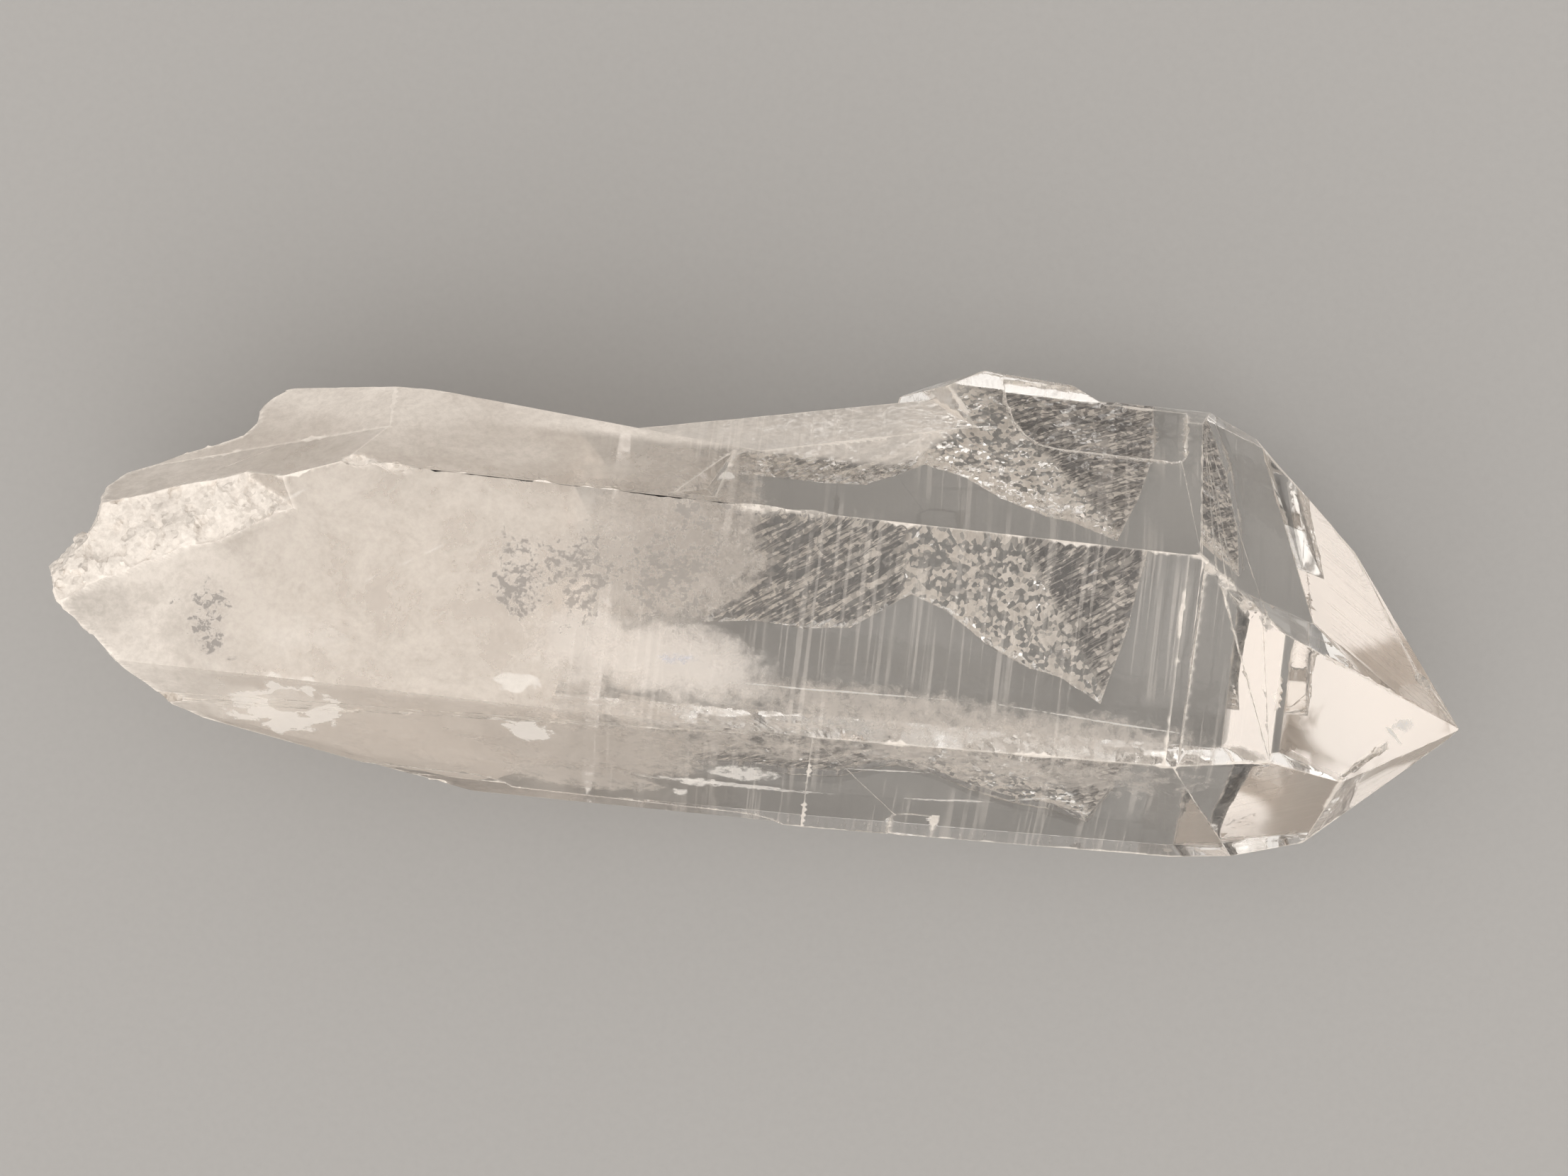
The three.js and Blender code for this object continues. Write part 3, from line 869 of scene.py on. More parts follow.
        milk = along * (0.6 + 0.4 * at.mottle.rise(0.3, 0.65)) * (1.0 - 0.5 * self._thin(at))
        # Per small and large flat: painted glints that light the hollow's band facet by facet, and
        # more or less frost on the other broken surfaces.
        bright = (0.7 * small_own + 0.45 * large_own).rise(0.38, 0.72)
        # Cloud in the hollow: painted shade on the flanks, where the tint is dark, and a painted
        # reflection in the band.
        hollow = ((0.38 + 0.28 * right + 0.45 * streak + 0.2 * self.hollow.wall(at)) * sides
                  + under * band * (0.05 + 0.95 * bright))
        rough = (1.0 - under) * (self.frost * (0.5 + 0.5 * bright))
        rim = (1.0 - abs(2.0 * at.broken - 1.0)).rise(0.35, 0.9)
        share = (milk * self.skin_milk + at.broken * (hollow + rough)
                 # Worn edges turn white: real wear, and partly a painted highlight.
                 + at.edge.rise(*self.worn) * self.edge_wear_and_highlight
                 + self.stripes.share(at) * (1.0 - along)
                 + self.speck_white * speck + self.rim_white * rim
                 + self.satin_white * self.satin.share(at) + self.root_white * self._root(at)
                 # The upper side is painted lighter, as if more light falls on it.
                 + self.upper_painted_light * at.y.rise(*self.upper_side) * along).clamped()
        mixed = g.node("ShaderNodeMixShader", {},
                       {0: share, 1: clear.outputs[0], 2: milky.outputs[0]})
        depth = g.node("ShaderNodeVolumeAbsorption", {},
                       {"Color": self.depth_tint, "Density": self.depth_density})
        return g.finish(mixed.outputs[0], depth.outputs[0])

    def _thin(self, at: Spot) -> Value:
        """Where the cloud is thinner, on the lower side."""
        start = (at.x + at.mottle.swing(self.thin_ragged)).rise(*self.thin_from)
        return at.y.rise(*self.thin_side) * start

    def _root(self, at: Spot) -> Value:
        """Where the root and its upper shoulder are whiter."""
        shoulder = at.y.rise(*self.knob_side) * at.x.rise(*self.knob_end)
        return at.x.rise(*self.root_end).most(shoulder)


class Fade(Enum):
    """How a veil ends."""

    ALONG = "thins out toward the point"
    RIM = "thins out at its own rim"


@dataclass(frozen=True)
class VeilFinish:
    """A cloud of tiny bubbles inside the stone, seen as a thin torn sheet.

    Attributes:
        name: the material's name.
        tone: colour of the cloud.
        lump: size of the cloud's lumps, millimetres.
        cover: how much of the sheet shows, 0 to 1.
        low: the noise below which the sheet is torn through.
        high: the noise above which it is whole.
        fade: how the veil ends.
        milky_to: position along X where the cloud is whole.
        clear_from: position along X where it has ended.
        shine: roughness of the veil.
        through: how much of its light comes through from behind.
        painted_glow: painted light of its own, as a share of its tone, standing in for light
            scattered to and fro in the cloud and for light that reaches it through the stone.
        ragged: how far noise pushes its end toward the point about, millimetres.
        end_torn: how much more torn it is where it ends along X.
        rim_torn: how much more torn it is at its own rim.
    """

    name: str
    tone: Colour = colour(0.88, 0.82, 0.76)
    lump: float = 4.0
    cover: float = 0.8
    low: float = 0.3
    high: float = 0.6
    fade: Fade = Fade.ALONG
    milky_to: float = -22.0
    clear_from: float = 3.0
    shine: float = 0.8
    through: float = 0.4
    painted_glow: float = 0.25
    ragged: float = 24.0
    end_torn: float = 0.35
    rim_torn: float = 0.4

    def material(self) -> bpy.types.Material:
        """Builds the material: a cloud lit from both sides, with painted light of its own, torn
        through where noise is low.
        """
        g = Graph(bpy.data.materials.new(self.name))
        place = g.place()
        lumps = g.noise(place, self.lump, 4.0, 0.62, 0.3)
        if self.fade is Fade.ALONG:
            x = g.value("ShaderNodeSeparateXYZ", {}, {0: place}, 0)
            strayed = x + g.noise(place, 8.0, 3.0).swing(self.ragged)
            near = strayed.rise(self.clear_from, self.milky_to)
            torn, last = self.end_torn, 0.25
        else:
            near = g.mark("rim")
            torn, last = self.rim_torn, 0.3
        alpha = (lumps - torn * (1.0 - near)).rise(self.low, self.high) * near.rise(0.0, last)
        alpha = alpha * self.cover
        cloud = g.node("ShaderNodeBsdfPrincipled", {},
                       {"Base Color": self.tone, "Roughness": self.shine, "Alpha": alpha,
                        "Emission Color": self.tone, "Emission Strength": self.painted_glow})
        through = g.node("ShaderNodeBsdfTranslucent", {}, {"Color": self.tone})
        gone = g.node("ShaderNodeBsdfTransparent", {}, {})
        soft = g.node("ShaderNodeMixShader", {},
                      {0: alpha, 1: gone.outputs[0], 2: through.outputs[0]})
        mixed = g.node("ShaderNodeMixShader", {},
                       {0: self.through, 1: cloud.outputs[0], 2: soft.outputs[0]})
        g.owner.cycles.emission_sampling = "NONE"
        return g.finish(mixed.outputs[0])


@dataclass(frozen=True)
class FloorFinish:
    """Pale matt paper.

    Attributes:
        tone: colour of the paper.
        lighter: how much lighter its grain is.
        grain: size of the grain, millimetres.
        depth: depth of the grain, millimetres.
    """

    tone: Colour = colour(0.36, 0.355, 0.35)
    lighter: float = 1.08
    grain: float = 0.6
    depth: float = 0.02

    def material(self) -> bpy.types.Material:
        """Builds the material."""
        g = Graph(bpy.data.materials.new("pale_paper"))
        grain = g.noise(g.place(), self.grain, 3.0)
        pale = colour(*(min(1.0, self.lighter * part) for part in self.tone[:3]))
        inputs = {"Base Color": g.blend(grain, self.tone, pale), "Roughness": 0.85,
                  "Normal": g.bump(grain, self.depth, 0.4)}
        paper = g.node("ShaderNodeBsdfPrincipled", {}, inputs)
        return g.finish(paper.outputs[0])


# ---- pieces ------------------------------------------------------------------------------


@dataclass
class CrystalBody:
    """The whole crystal, with crystal faces left flat and broken faces broken up.

    Attributes:
        least_face: smallest area that counts as a crystal face, square metres.
        fine: side of the triangles on broken surfaces, metres.
        edge: side along the crystal's edges.
        coarse: side on flat faces.
        relief: height of the broken facets.
        wear: how far the worn edges are rubbed in.
        hollow_top: height under which the hollow's facets are lower, millimetres.
        hollow_from: position along X from which they are.
        hollow_relief: how much of the relief they have.
        large_facet: size of the large facets, millimetres.
        small_facet: size of the small ones.
        chip: size of the chips along the edges, millimetres.
        face_bend: sharpest bend between crystal faces that is shaded smooth, degrees.
        broken_bend: the same on broken surfaces.
        finish: the look of the stone.
        skin: the unrefined solid, kept for the clouds that follow it.
    """

    least_face: float = 3.8 * MM * MM
    fine: float = 0.5 * MM
    edge: float = 0.6 * MM
    coarse: float = 4.0 * MM
    relief: float = 0.34 * MM
    wear: float = 0.05 * MM
    hollow_top: float = 4.0
    hollow_from: float = -6.0
    hollow_relief: float = 0.45
    large_facet: float = 2.3
    small_facet: float = 1.15
    chip: float = 2.3
    face_bend: float = 4.0
    broken_bend: float = 28.0
    finish: QuartzFinish = QuartzFinish()
    skin: Skin | None = None

    def build(self) -> bpy.types.Object:
        """Builds and dresses the piece."""
        skin = Skin.copied(bpy.data.objects[NODE])
        skin.find_crystal_faces(self.least_face)
        self.skin = Skin(skin.points.copy(), skin.faces.copy(), skin.plane.copy(), skin.normals)
        skin.refine(self.fine, self.edge, self.coarse)
        self._break_up(skin)
        body = solid_object("quartz_body", skin.points, skin.faces)
        self._mark(body, skin)
        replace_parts(dressed(body, self.finish.material()), NODE)
        return body

    def _break_up(self, skin: Skin) -> None:
        """Moves broken surfaces in and out by tilted facets, and rubs the crystal's edges in."""
        share = skin.broken_share()
        outward = skin.point_normals()
        cells = skin.points / MM
        hollow = (cells[:, 2] < self.hollow_top) & (cells[:, 0] > self.hollow_from)
        share = share * np.where(hollow, self.hollow_relief, 1.0)
        large, small = facets(cells / self.large_facet, 3), facets(cells / self.small_facet, 5)
        height = 0.6 * large + 0.45 * small - 0.3
        moves = outward * (self.relief * height * share)[:, None]
        moves = skin.keep_on_faces(moves)
        moves -= outward * (self.wear * self._edge_wear(skin))[:, None]
        skin.points = skin.points + moves
        skin.points[:, 2] = np.maximum(skin.points[:, 2], 0.0)

    def _edge_wear(self, skin: Skin) -> np.ndarray:
        """How worn each point is, from 0 away from the crystal's edges to 1 at a chip on one."""
        pairs, _, both = skin.edges()
        kinds = skin.plane[both]
        ridge = (kinds[:, 0] != kinds[:, 1]) & (kinds >= 0).all(axis=1)
        worn = np.zeros(len(skin.points))
        worn[np.unique(pairs[ridge])] = 1.0
        chips = np.clip(layered_noise(skin.points / MM / self.chip, 9, 4) * 2.2 - 0.1, 0.0, 1.0)
        return worn * (0.25 + 0.75 * chips)

    def _mark(self, body: bpy.types.Object, skin: Skin) -> None:
        """Keeps the creases between faces sharp, and notes how broken the surface is."""
        mesh = body.data
        broken = mesh.attributes.new("broken", "FLOAT", "POINT")
        broken.data.foreach_set("value", skin.broken_share().astype(np.float32))
        edge = mesh.attributes.new("edge", "FLOAT", "POINT")
        edge.data.foreach_set("value", self._edge_wear(skin).astype(np.float32))
        ends = np.empty(len(mesh.edges) * 2, np.int32)
        mesh.edges.foreach_get("vertices", ends)
        ends = np.sort(ends.reshape(-1, 2), axis=1)
        pairs, _, both = skin.edges()
        normal, _ = skin.face_normals()
        turn = np.einsum("ij,ij->i", normal[both[:, 0]], normal[both[:, 1]])
        kinds = skin.plane[both]
        bend = np.where((kinds >= 0).all(axis=1), self.face_bend, self.broken_bend)
        sharp = turn < np.cos(np.radians(bend))
        key = pairs[:, 0].astype(np.int64) * len(skin.points) + pairs[:, 1]
        mine = ends[:, 0].astype(np.int64) * len(skin.points) + ends[:, 1]
        found = np.searchsorted(key, mine).clip(0, len(key) - 1)
        flags = np.where(key[found] == mine, sharp[found], False)
        crease = mesh.attributes.new("sharp_edge", "BOOLEAN", "EDGE")
        crease.data.foreach_set("value", flags)


def reach(skin: Skin, origins: np.ndarray, ways: np.ndarray) -> np.ndarray:
    """How far each ray runs before it meets the skin, by the crossing of a ray and a triangle.

    Args:
        skin: the closed surface.
        origins: where the rays start.
        ways: their directions.

    Returns:
        The nearest distance for each ray, or infinity where it meets nothing.
    """
    a, b, c = (skin.points[skin.faces[:, k]] for k in range(3))
    side, other = b - a, c - a
    far = np.full(len(origins), np.inf)
    for start in range(0, len(origins), RAYS_AT_ONCE):
        some = slice(start, start + RAYS_AT_ONCE)
        origin, way = origins[some, None], ways[some, None]
        cross = np.cross(way, other[None])
        scale = np.einsum("rtk,tk->rt", cross, side)
        scale = np.where(np.abs(scale) < 1e-16, np.inf, scale)
        away = origin - a[None]
        u = np.einsum("rtk,rtk->rt", away, cross) / scale
        turned = np.cross(away, side[None])
        v = np.einsum("rtk,rtk->rt", np.broadcast_to(way, turned.shape), turned) / scale
        t = np.einsum("rtk,tk->rt", turned, other) / scale
        hit = (u >= -1e-9) & (v >= -1e-9) & (u + v <= 1 + 1e-9) & (t > 0)
        far[some] = np.where(hit, t, np.inf).min(axis=1)
    return far


@dataclass
class CloudShell:
    """A cloud that follows the outside of the crystal at some depth under its skin.

    Attributes:
        name: the piece's name.
        depth: how far under the skin the cloud lies, metres.
        start: first position along X, metres.
        end: last position along X.
        finish: its look.
        waning: over how much of its length, at the point's end, the cloud draws in, metres.
        lump: size of the lumps in its outline, metres.
        uneven: how much the depth changes from lump to lump.
        least: smallest share of the skin's distance from the axis that it keeps.
        ragged: how far the lumps push its point's end about, metres.
        axis: side and height of the line that the shell is drawn round.
        rows: how many rings of points.
        columns: how many points in a ring.
    """

    name: str
    depth: float
    start: float
    end: float
    finish: VeilFinish
    waning: float = 8.0 * MM
    lump: float = 6.0 * MM
    uneven: float = 0.6
    least: float = 0.35
    ragged: float = 5.0 * MM
    axis: tuple[float, float] = (0.0, 15.0 * MM)
    rows: int = 70
    columns: int = 72

    def build(self, skin: Skin) -> bpy.types.Object:
        """Builds the shell: its distance from the axis is the skin's distance less the depth.

        The two parameters are the position along X, t from -1 to 1, and the angle round it. Both
        ends are rounded shut: the distance is multiplied by (1 - t^6)^(1/2). Over the waning
        length it is also multiplied by (1 - w^2)^(3/4), where w runs from 0 to 1.
        """
        even = np.sin(np.linspace(-1.0, 1.0, self.rows) * math.pi / 2.0)
        round_it = np.linspace(0.0, math.tau, self.columns, endpoint=False)
        t, angle = np.meshgrid(even, round_it, indexing="ij")
        along = self.start + (self.end - self.start) * (t + 1.0) / 2.0
        ways = np.stack([np.zeros_like(angle), np.cos(angle), np.sin(angle)], axis=-1)
        ways = ways.reshape(-1, 3)
        origins = np.stack([along.reshape(-1), np.full(along.size, self.axis[0]),
                            np.full(along.size, self.axis[1])], axis=1)
        far = reach(skin, origins, ways)
        far = np.where(np.isfinite(far), far, 0.5 * MM)
        wobble = layered_noise((origins + ways * far[:, None]) / self.lump, 21, 3)
        radius = np.maximum(far - self.depth * (1.0 + self.uneven * wobble), self.least * far)
        radius *= np.sqrt(np.clip(1.0 - t.reshape(-1) ** 6, 0.0, 1.0))
        ragged = origins[:, 0] + self.ragged * wobble
        wane = np.clip((ragged - self.end) / self.waning + 1.0, 0.0, 0.97)
        radius *= (1.0 - wane * wane) ** 0.75
        points = origins + ways * radius[:, None]
        faces = grid_faces(self.rows, self.columns, True)[:, ::-1]
        return dressed(solid_object(self.name, points, faces), self.finish.material())


def dressed(piece: bpy.types.Object, material: bpy.types.Material) -> bpy.types.Object:
    """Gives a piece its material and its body."""
    piece.data.materials.append(material)
    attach(piece, BODY)
    return piece


@dataclass(frozen=True)
class Sheet:
    """One thin sheet inside the crystal.

    Attributes:
        at: its middle, millimetres.
        along: half its length as a vector, millimetres.
        across: half its width as a vector, millimetres.
        bend: how far its ends curl away from flat, millimetres.
        rumple: height of its waves, millimetres.
        wave: length of its waves, millimetres.
    """

    at: tuple[float, float, float]
    along: tuple[float, float, float]
    across: tuple[float, float, float]
    bend: float = 0.5
    rumple: float = 0.3
    wave: float = 2.2

    def points(self, steps: int, seed: int) -> tuple[np.ndarray, np.ndarray]:
        """The sheet's points and how near each is to its middle.

        The two parameters s and t run from -1 to 1, and are pressed into a disc: u is s times the
        root of 1 - t²/2, and v is t times the root of 1 - s²/2. A point is the middle, plus u
        times the half length, plus v times the half width, plus the bend times u squared and the
        rumple times noise, both square to the sheet.

        Returns:
            Positions in metres, and the rim value 1 - u² - v².
        """
        even = np.linspace(-1.0, 1.0, steps)
        s, t = (a.reshape(-1) for a in np.meshgrid(even, even, indexing="ij"))
        u, v = s * np.sqrt(1.0 - t * t / 2.0), t * np.sqrt(1.0 - s * s / 2.0)
        at, along, across = (np.array(a, float) for a in (self.at, self.along, self.across))
        square = np.cross(along, across)
        square /= np.linalg.norm(square)
        flat = at + u[:, None] * along + v[:, None] * across
        lift = self.bend * u * u + self.rumple * layered_noise(flat / self.wave, seed, 3)
        return (flat + lift[:, None] * square) * MM, np.clip(1.0 - u * u - v * v, 0.0, 1.0)


@dataclass
class Veils:
    """Several sheets that share one look, as one piece.

    Attributes:
        name: the piece's name.
        sheets: the sheets.
        finish: their look.
        steps: points along each side of a sheet.
    """

    name: str
    sheets: Sequence[Sheet]
    finish: VeilFinish
    steps: int = 25

    def build(self) -> bpy.types.Object:
        """Joins the sheets and notes on each point how near it is to the middle of its sheet."""
        made = [sheet.points(self.steps, 31 + i) for i, sheet in enumerate(self.sheets)]
        points = np.concatenate([places for places, _ in made])
        rims = np.concatenate([rim for _, rim in made])
        one = grid_faces(self.steps, self.steps)
        faces = np.concatenate([one + i * self.steps**2 for i in range(len(self.sheets))])
        piece = solid_object(self.name, points, faces)
        rim = piece.data.attributes.new("rim", "FLOAT", "POINT")
        rim.data.foreach_set("value", rims.astype(np.float32))
        return dressed(piece, self.finish.material())


# ---- studio ------------------------------------------------------------------------------


@dataclass
class Studio:
    """Pale floor, soft light and the camera.

    Attributes:
        target: the point on the crystal's upper face at the middle of the view, metres.
        distance: from the target to the camera.
        tilt: how far the camera leans to the upper side, degrees.
        roll: how far the view is turned in its own plane, degrees.
        lens: focal length, millimetres.
        walls: light from the walls.
        ceiling: how much more comes from above.
        window: how much more comes from the middle of the window.
        window_way: the way to the window.
        window_edge: cosine of the angle from the window's middle to its edge.
        light_tint: colour of the light.
        floor_half: from the middle of the floor to its edge, metres.
        floor_steps: points along each side of the floor.
        floor_gap: how far the floor lies under the crystal, metres.
    """

    target: tuple[float, float, float] = (1.4125 * MM, 1.697 * MM, 31.0 * MM)
    distance: float = 450.0 * MM
    tilt: float = 5.5
    roll: float = 6.4
    lens: float = 133.6
    walls: float = 0.94
    ceiling: float = 0.04
    window: float = 0.62
    window_way: tuple[float, float, float] = (-0.35, -0.5, 0.75)
    window_edge: float = 0.35
    light_tint: Colour = colour(1.0, 0.96, 0.915)
    floor_half: float = 3.0
    floor_steps: int = 25
    floor_gap: float = 0.05 * MM

    def build(self) -> None:
        """Makes the floor, the light and the camera."""
        self._floor()
        self._room()
        cycles = bpy.context.scene.cycles
        cycles.max_bounces, cycles.glossy_bounces, cycles.transmission_bounces = 16, 10, 12
        cycles.diffuse_bounces, cycles.transparent_max_bounces = 2, 12
        bpy.context.scene.view_settings.view_transform = "Standard"
        self._camera()

    def _floor(self) -> None:
        """A flat sheet of paper under the crystal."""
        side = np.linspace(-self.floor_half, self.floor_half, self.floor_steps)
        x, y = np.meshgrid(side, side, indexing="ij")
        points = np.stack([x.reshape(-1), y.reshape(-1), np.full(x.size, -self.floor_gap)], axis=1)
        faces = grid_faces(self.floor_steps, self.floor_steps)[:, ::-1]
        floor = solid_object("paper_floor", points, faces)
        floor.data.materials.append(FloorFinish().material())
        floor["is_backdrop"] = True

    def _room(self) -> None:
        """Lights the room from all round, with a wide soft window on one side."""
        world = bpy.data.worlds.new("room")
        g = Graph(world)
        way = g.node("ShaderNodeTexCoord", {}, {}).outputs["Generated"]
        facing = g.value("ShaderNodeVectorMath", {"operation": "DOT_PRODUCT"},
                         {0: way, 1: Vector(self.window_way).normalized()}, 1)
        height = g.value("ShaderNodeSeparateXYZ", {}, {0: way}, 2)
        light = (self.walls + self.ceiling * height.rise(-0.05, 0.8)
                 + self.window * facing.rise(self.window_edge, 0.97))
        back = g.node("ShaderNodeBackground", {}, {"Color": self.light_tint, "Strength": light})
        g.node("ShaderNodeOutputWorld", {}, {"Surface": back.outputs[0]})
        world.cycles.sampling_method = "NONE"
        bpy.context.scene.world = world

    def _camera(self) -> None:
        """Looks down on the target, leaned by the tilt and turned by the roll."""
        t, r = math.radians(self.tilt), math.radians(self.roll)
        right = Vector((math.cos(r), math.sin(r) * math.cos(t), -math.sin(r) * math.sin(t)))
        up = Vector((-math.sin(r), math.cos(r) * math.cos(t), -math.cos(r) * math.sin(t)))
        back = Vector((0.0, math.sin(t), math.cos(t)))
        data = bpy.data.cameras.new("camera")
        data.sensor_width, data.lens = SENSOR_WIDTH, self.lens
        data.clip_start, data.clip_end = 0.01, 10.0
        camera = bpy.data.objects.new("camera", data)
        place = Vector(self.target) + back * self.distance
        turn = Matrix((right, up, back)).transposed().to_4x4()
        camera.matrix_world = Matrix.Translation(place) @ turn
        bpy.context.collection.objects.link(camera)
        bpy.context.scene.camera = camera


EDGE_SHEETS = (
    Sheet((13.0, -8.6, 27.0), (26.0, -0.6, 0.0), (0.0, -2.2, -2.5), 0.3, 0.5),
    Sheet((-2.0, -9.5, 25.0), (16.0, -0.6, 0.0), (0.0, -1.7, -3.8), 0.4, 0.6),
    Sheet((24.0, -9.2, 24.0), (16.0, 0.2, 0.5), (0.0, -3.0, -1.8), 0.4, 0.5),
    Sheet((9.0, -6.9, 29.8), (17.0, -0.3, 0.0), (0.0, 2.5, -0.3), 0.1, 0.2),
    Sheet((27.0, -7.1, 29.3), (12.0, -0.3, -0.6), (0.0, 2.2, -0.3), 0.1, 0.2),
    Sheet((17.0, -7.0, 28.2), (22.0, -0.4, 0.0), (0.0, 2.2, -0.4), 0.2, 0.4),
)
CRACK_SHEETS = (
    Sheet((-0.2, -13.4, 22.0), (3.6, 0.5, -0.3), (0.2, -1.0, -1.4), 0.4, 0.3),
    Sheet((-3.4, -14.8, 19.6), (2.0, 0.2, 0.0), (0.1, -0.6, -0.9), 0.2, 0.3),
    Sheet((-5.0, -15.8, 17.2), (1.0, 0.1, 0.0), (0.1, -0.5, -0.6), 0.2, 0.2),
    Sheet((-30.4, -1.2, 30.5), (0.7, 0.45, 0.0), (0.0, 0.1, -0.25), 0.1, 0.1),
    Sheet((-28.0, 0.3, 30.5), (1.0, 0.6, 0.0), (0.0, 0.1, -0.25), 0.1, 0.1),
    Sheet((-25.8, 1.6, 30.4), (0.9, 0.55, 0.0), (0.0, 0.1, -0.25), 0.1, 0.1),
    Sheet((-1.0, -14.6, 19.6), (9.6, 0.1, 0.2), (0.0, 0.1, -1.3), 0.1, 0.1),
    Sheet((10.7, -11.4, 24.4), (4.6, 0.3, 0.3), (0.0, 0.1, -0.6), 0.1, 0.1),
    Sheet((16.3, -13.9, 20.6), (4.4, 0.3, 0.6), (0.0, 0.1, -0.8), 0.1, 0.1),
    Sheet((22.8, -12.9, 22.2), (2.8, 0.6, 1.0), (0.0, 0.1, -0.7), 0.1, 0.1),
    Sheet((51.2, -4.7, 19.5), (1.2, 0.2, -0.95), (0.2, -0.7, 0.0), 0.1, 0.1),
    Sheet((50.2, -5.6, 18.9), (1.0, -0.8, -0.5), (0.1, 0.3, 0.4), 0.1, 0.1),
    Sheet((-3.9, 9.0, 26.8), (0.6, 0.25, 0.1), (-0.3, 0.7, -0.2), 0.1, 0.1),
    Sheet((6.5, -5.9, 30.2), (11.0, 0.35, 0.0), (0.0, 0.08, -0.2), 0.1, 0.1),
    Sheet((26.5, -5.9, 29.8), (10.0, -0.5, -0.5), (0.0, 0.08, -0.2), 0.1, 0.1),
    Sheet((-45.4, -0.4, 30.1), (2.8, 1.1, 0.0), (0.1, -0.2, -0.15), 0.1, 0.1),
    Sheet((-41.4, 1.7, 29.8), (2.8, 1.6, 0.0), (0.1, -0.26, -0.15), 0.1, 0.1),
    Sheet((-41.8, 0.9, 30.1), (2.2, 1.1, 0.0), (0.1, -0.14, -0.1), 0.1, 0.1),
    Sheet((-37.6, 4.2, 29.8), (2.0, 1.3, 0.0), (0.1, -0.16, -0.15), 0.1, 0.1),
)
WALL_SHEETS = (
    Sheet((-12.6, -3.3, 10.8), (0.0, 12.0, 0.0), (0.4, 0.0, -10.4), 0.2, 0.3, 5.0),
    Sheet((-19.5, -3.0, 11.0), (0.5, 9.0, 0.0), (0.4, 0.0, -10.5), 0.2, 0.3, 5.0),
)
WEDGE_SHEETS = (
    Sheet((-35.4, -6.2, 30.0), (4.6, 0.3, 0.0), (0.2, 2.2, -0.1), 0.1, 0.2, 2.0),
    Sheet((-6.0, -5.0, 29.2), (8.4, -1.3, -0.3), (1.6, 3.4, -0.2), 0.2, 0.3, 3.0),
    Sheet((-5.5, -5.2, 27.2), (8.6, -1.3, -0.4), (1.6, 3.4, -0.4), 0.3, 0.4, 3.0),
    Sheet((-6.5, -5.6, 24.6), (8.6, -1.2, -0.6), (1.4, 3.6, -0.6), 0.3, 0.4, 3.0),
    Sheet((-14.0, -4.5, 28.6), (6.5, -0.4, -0.2), (0.4, 3.8, -0.3), 0.3, 0.4, 3.0),
    Sheet((-13.5, -5.0, 26.0), (7.0, -0.4, -0.2), (0.4, 4.0, -0.3), 0.3, 0.4, 3.0),
)
FRONT_SHEETS = (
    Sheet((-8.5, 2.5, 28.8), (9.0, 0.6, -0.4), (0.4, 5.6, -0.4), 0.4, 0.5, 3.0),
    Sheet((-8.0, 3.0, 26.8), (9.0, 0.6, -0.6), (0.6, 6.2, -0.6), 0.4, 0.7, 3.0),
    Sheet((-8.5, 3.5, 24.2), (9.0, 0.6, -0.9), (0.6, 6.6, -0.8), 0.4, 0.7, 3.0),
    Sheet((-9.0, 5.0, 21.0), (8.0, 1.0, -1.5), (0.5, 6.0, -1.8), 0.4, 0.7, 3.0),
    Sheet((-13.5, -12.2, 22.4), (12.0, 0.2, 0.0), (0.3, -3.5, -6.2), 0.2, 0.3, 3.0),
    Sheet((-12.5, -11.3, 22.0), (11.0, 0.2, 0.0), (0.3, -3.5, -6.2), 0.2, 0.4, 3.0),
    Sheet((-13.0, -15.2, 17.6), (8.0, 0.1, 0.0), (0.1, -1.4, -2.4), 0.1, 0.2, 3.0),
    Sheet((-14.0, -7.2, 27.0), (6.0, 0.1, 0.0), (0.2, -1.6, -1.6), 0.1, 0.2, 3.0),
)
RAINBOW_SHEETS = (Sheet((-6.2, -4.8, 29.4), (2.2, 0.2, 0.1), (0.1, 0.6, -0.05), 0.1, 0.1),)
RAGGED_SHEETS = (
    Sheet((-36.4, -11.8, 24.6), (5.6, 0.0, 0.0), (-1.0, -3.0, -5.3), 0.0, 0.15, 2.0),
    Sheet((-40.3, -11.2, 23.6), (4.4, -0.7, 0.0), (-0.4, -2.3, -4.4), 0.0, 0.15, 2.0),
    Sheet((-17.5, -11.5, 25.5), (2.6, 0.0, 0.0), (0.3, -1.4, -2.5), 0.0, 0.15, 2.0),
    Sheet((-18.4, -8.0, 30.2), (2.2, 0.2, 0.0), (0.0, 1.2, 0.0), 0.0, 0.15),
)


def corners() -> list[list[float]]:
    """The shown model's box as plain numbers."""
    return [list(corner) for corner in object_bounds()]


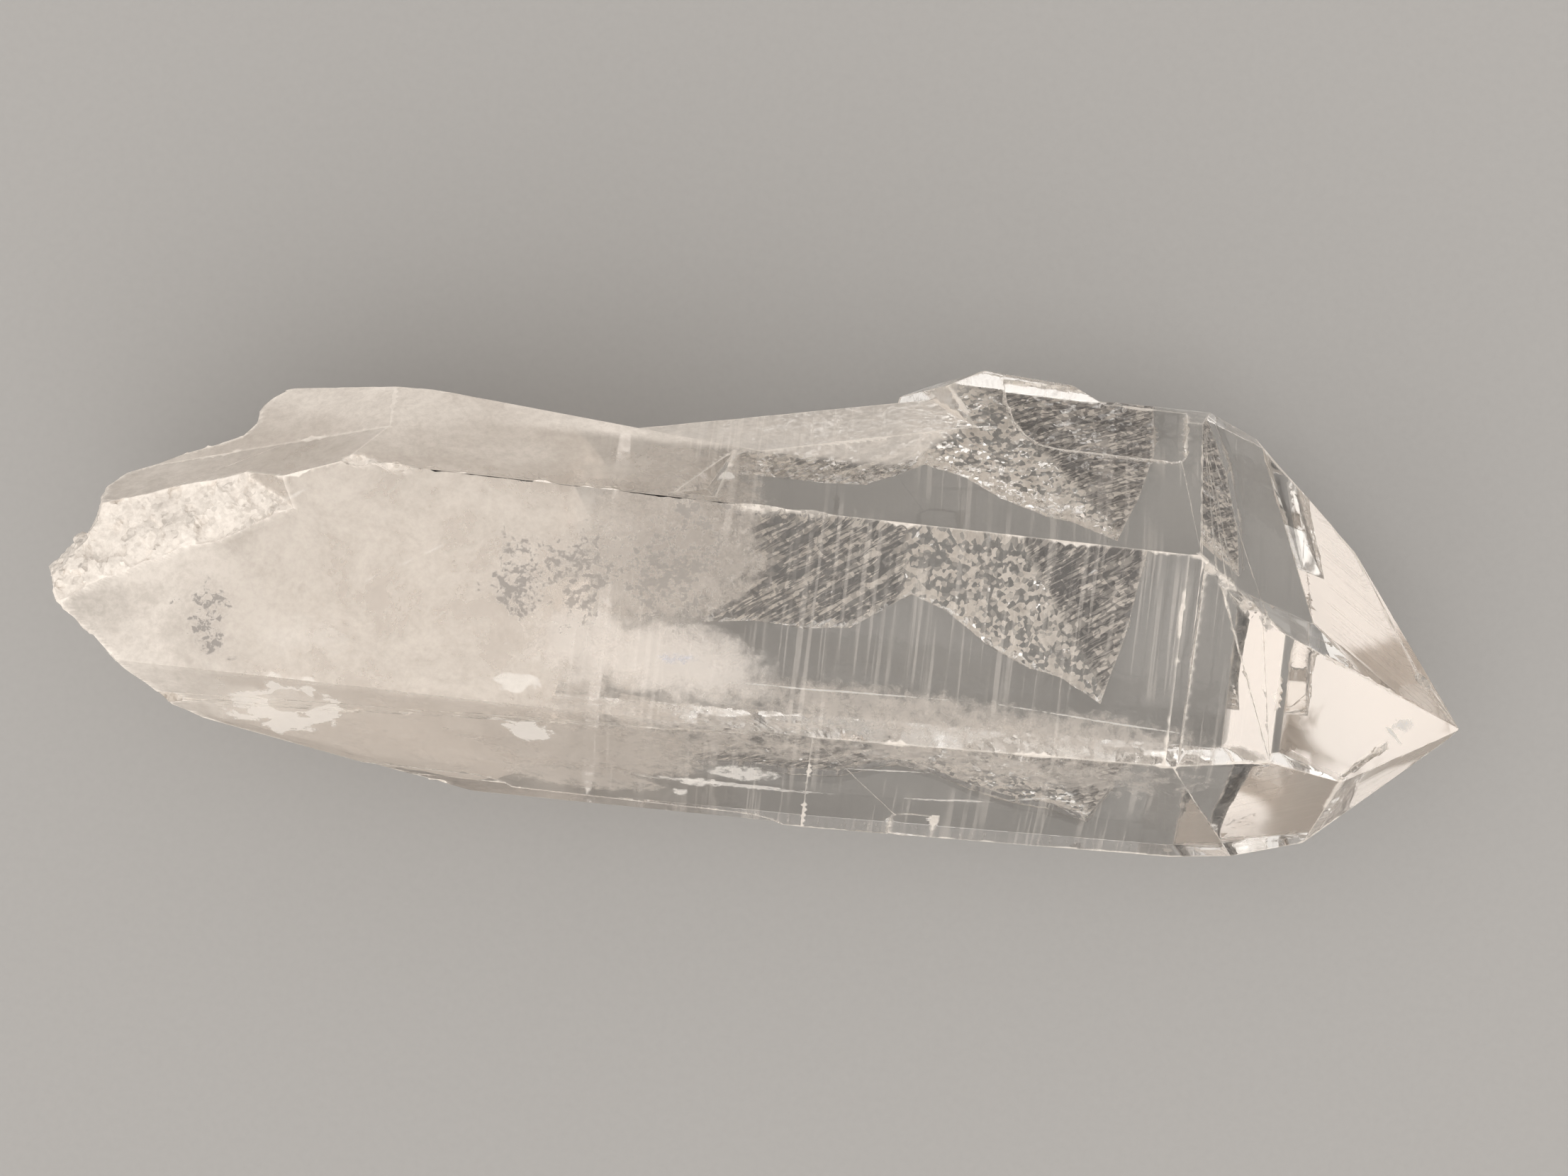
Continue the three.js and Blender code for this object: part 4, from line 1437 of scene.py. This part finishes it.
def main() -> None:
    """Builds every piece and the studio."""
    logging.basicConfig(level=logging.INFO, format="%(name)s: %(message)s")
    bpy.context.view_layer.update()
    body = CrystalBody()
    made = [body.build()]
    # Clouds and veils give painted light of their own, standing in for light that reaches them
    # through the stone.
    clouds = [
        CloudShell("milk_cloud", 1.6 * MM, -51.0 * MM, -13.0 * MM,
                   VeilFinish("milk_cloud", lump=3.0, low=0.05, high=0.5, milky_to=-24.0,
                              clear_from=-3.0, painted_glow=0.1)),
        CloudShell("core_cloud", 4.5 * MM, -46.0 * MM, -14.0 * MM,
                   VeilFinish("core_cloud", lump=5.0, cover=0.98, low=0.2, high=0.42,
                              milky_to=-20.0, clear_from=-4.0)),
    ]
    made += [cloud.build(body.skin) for cloud in clouds]
    veils = [
        Veils("edge_veils", EDGE_SHEETS, VeilFinish(
            "edge_veils", lump=1.1, low=0.22, high=0.56, cover=0.62, fade=Fade.RIM, painted_glow=0.22)),
        # The cloud wall is painted almost fully alight; the point's faces show this painted light
        # in reflection.
        Veils("cloud_wall", WALL_SHEETS, VeilFinish(
            "cloud_wall", tone=colour(0.95, 0.9, 0.855), lump=5.0, low=-0.05, high=0.2, cover=0.99,
            fade=Fade.RIM, painted_glow=0.96), 49),
        Veils("wedge_veils", WEDGE_SHEETS, VeilFinish(
            "wedge_veils", tone=colour(0.92, 0.87, 0.82), lump=2.0, low=0.16, high=0.5, cover=0.8,
            fade=Fade.RIM, painted_glow=0.36), 33),
        # Real veils whose dim tone is also painted shade over the cloud wall behind them.
        Veils("front_veils", FRONT_SHEETS, VeilFinish(
            "front_veils", tone=colour(0.8, 0.745, 0.69), lump=1.3, low=0.1, high=0.46, cover=0.84,
            fade=Fade.RIM, painted_glow=0.14), 33),
        Veils("bright_cracks", CRACK_SHEETS, VeilFinish(
            "bright_cracks", tone=colour(0.96, 0.93, 0.89), lump=0.9, low=0.2, high=0.45, cover=0.9,
            fade=Fade.RIM, shine=0.3, painted_glow=0.5)),
        Veils("ragged_veils", RAGGED_SHEETS, VeilFinish(
            "ragged_veils", tone=colour(0.99, 0.96, 0.92), lump=2.0, low=0.26, high=0.33,
            cover=0.98, fade=Fade.RIM, painted_glow=0.5)),
        Veils("rainbow_veil", RAINBOW_SHEETS, VeilFinish(
            "rainbow_veil", tone=colour(0.76, 0.81, 0.98), lump=0.5, low=0.24, high=0.6, cover=0.6,
            fade=Fade.RIM, shine=0.3)),
    ]
    made += [veil.build() for veil in veils]
    for piece in made:
        LOG.info("%s: %d faces", piece.name, len(piece.data.polygons))
    Studio().build()


if __name__ == "__main__":
    main()
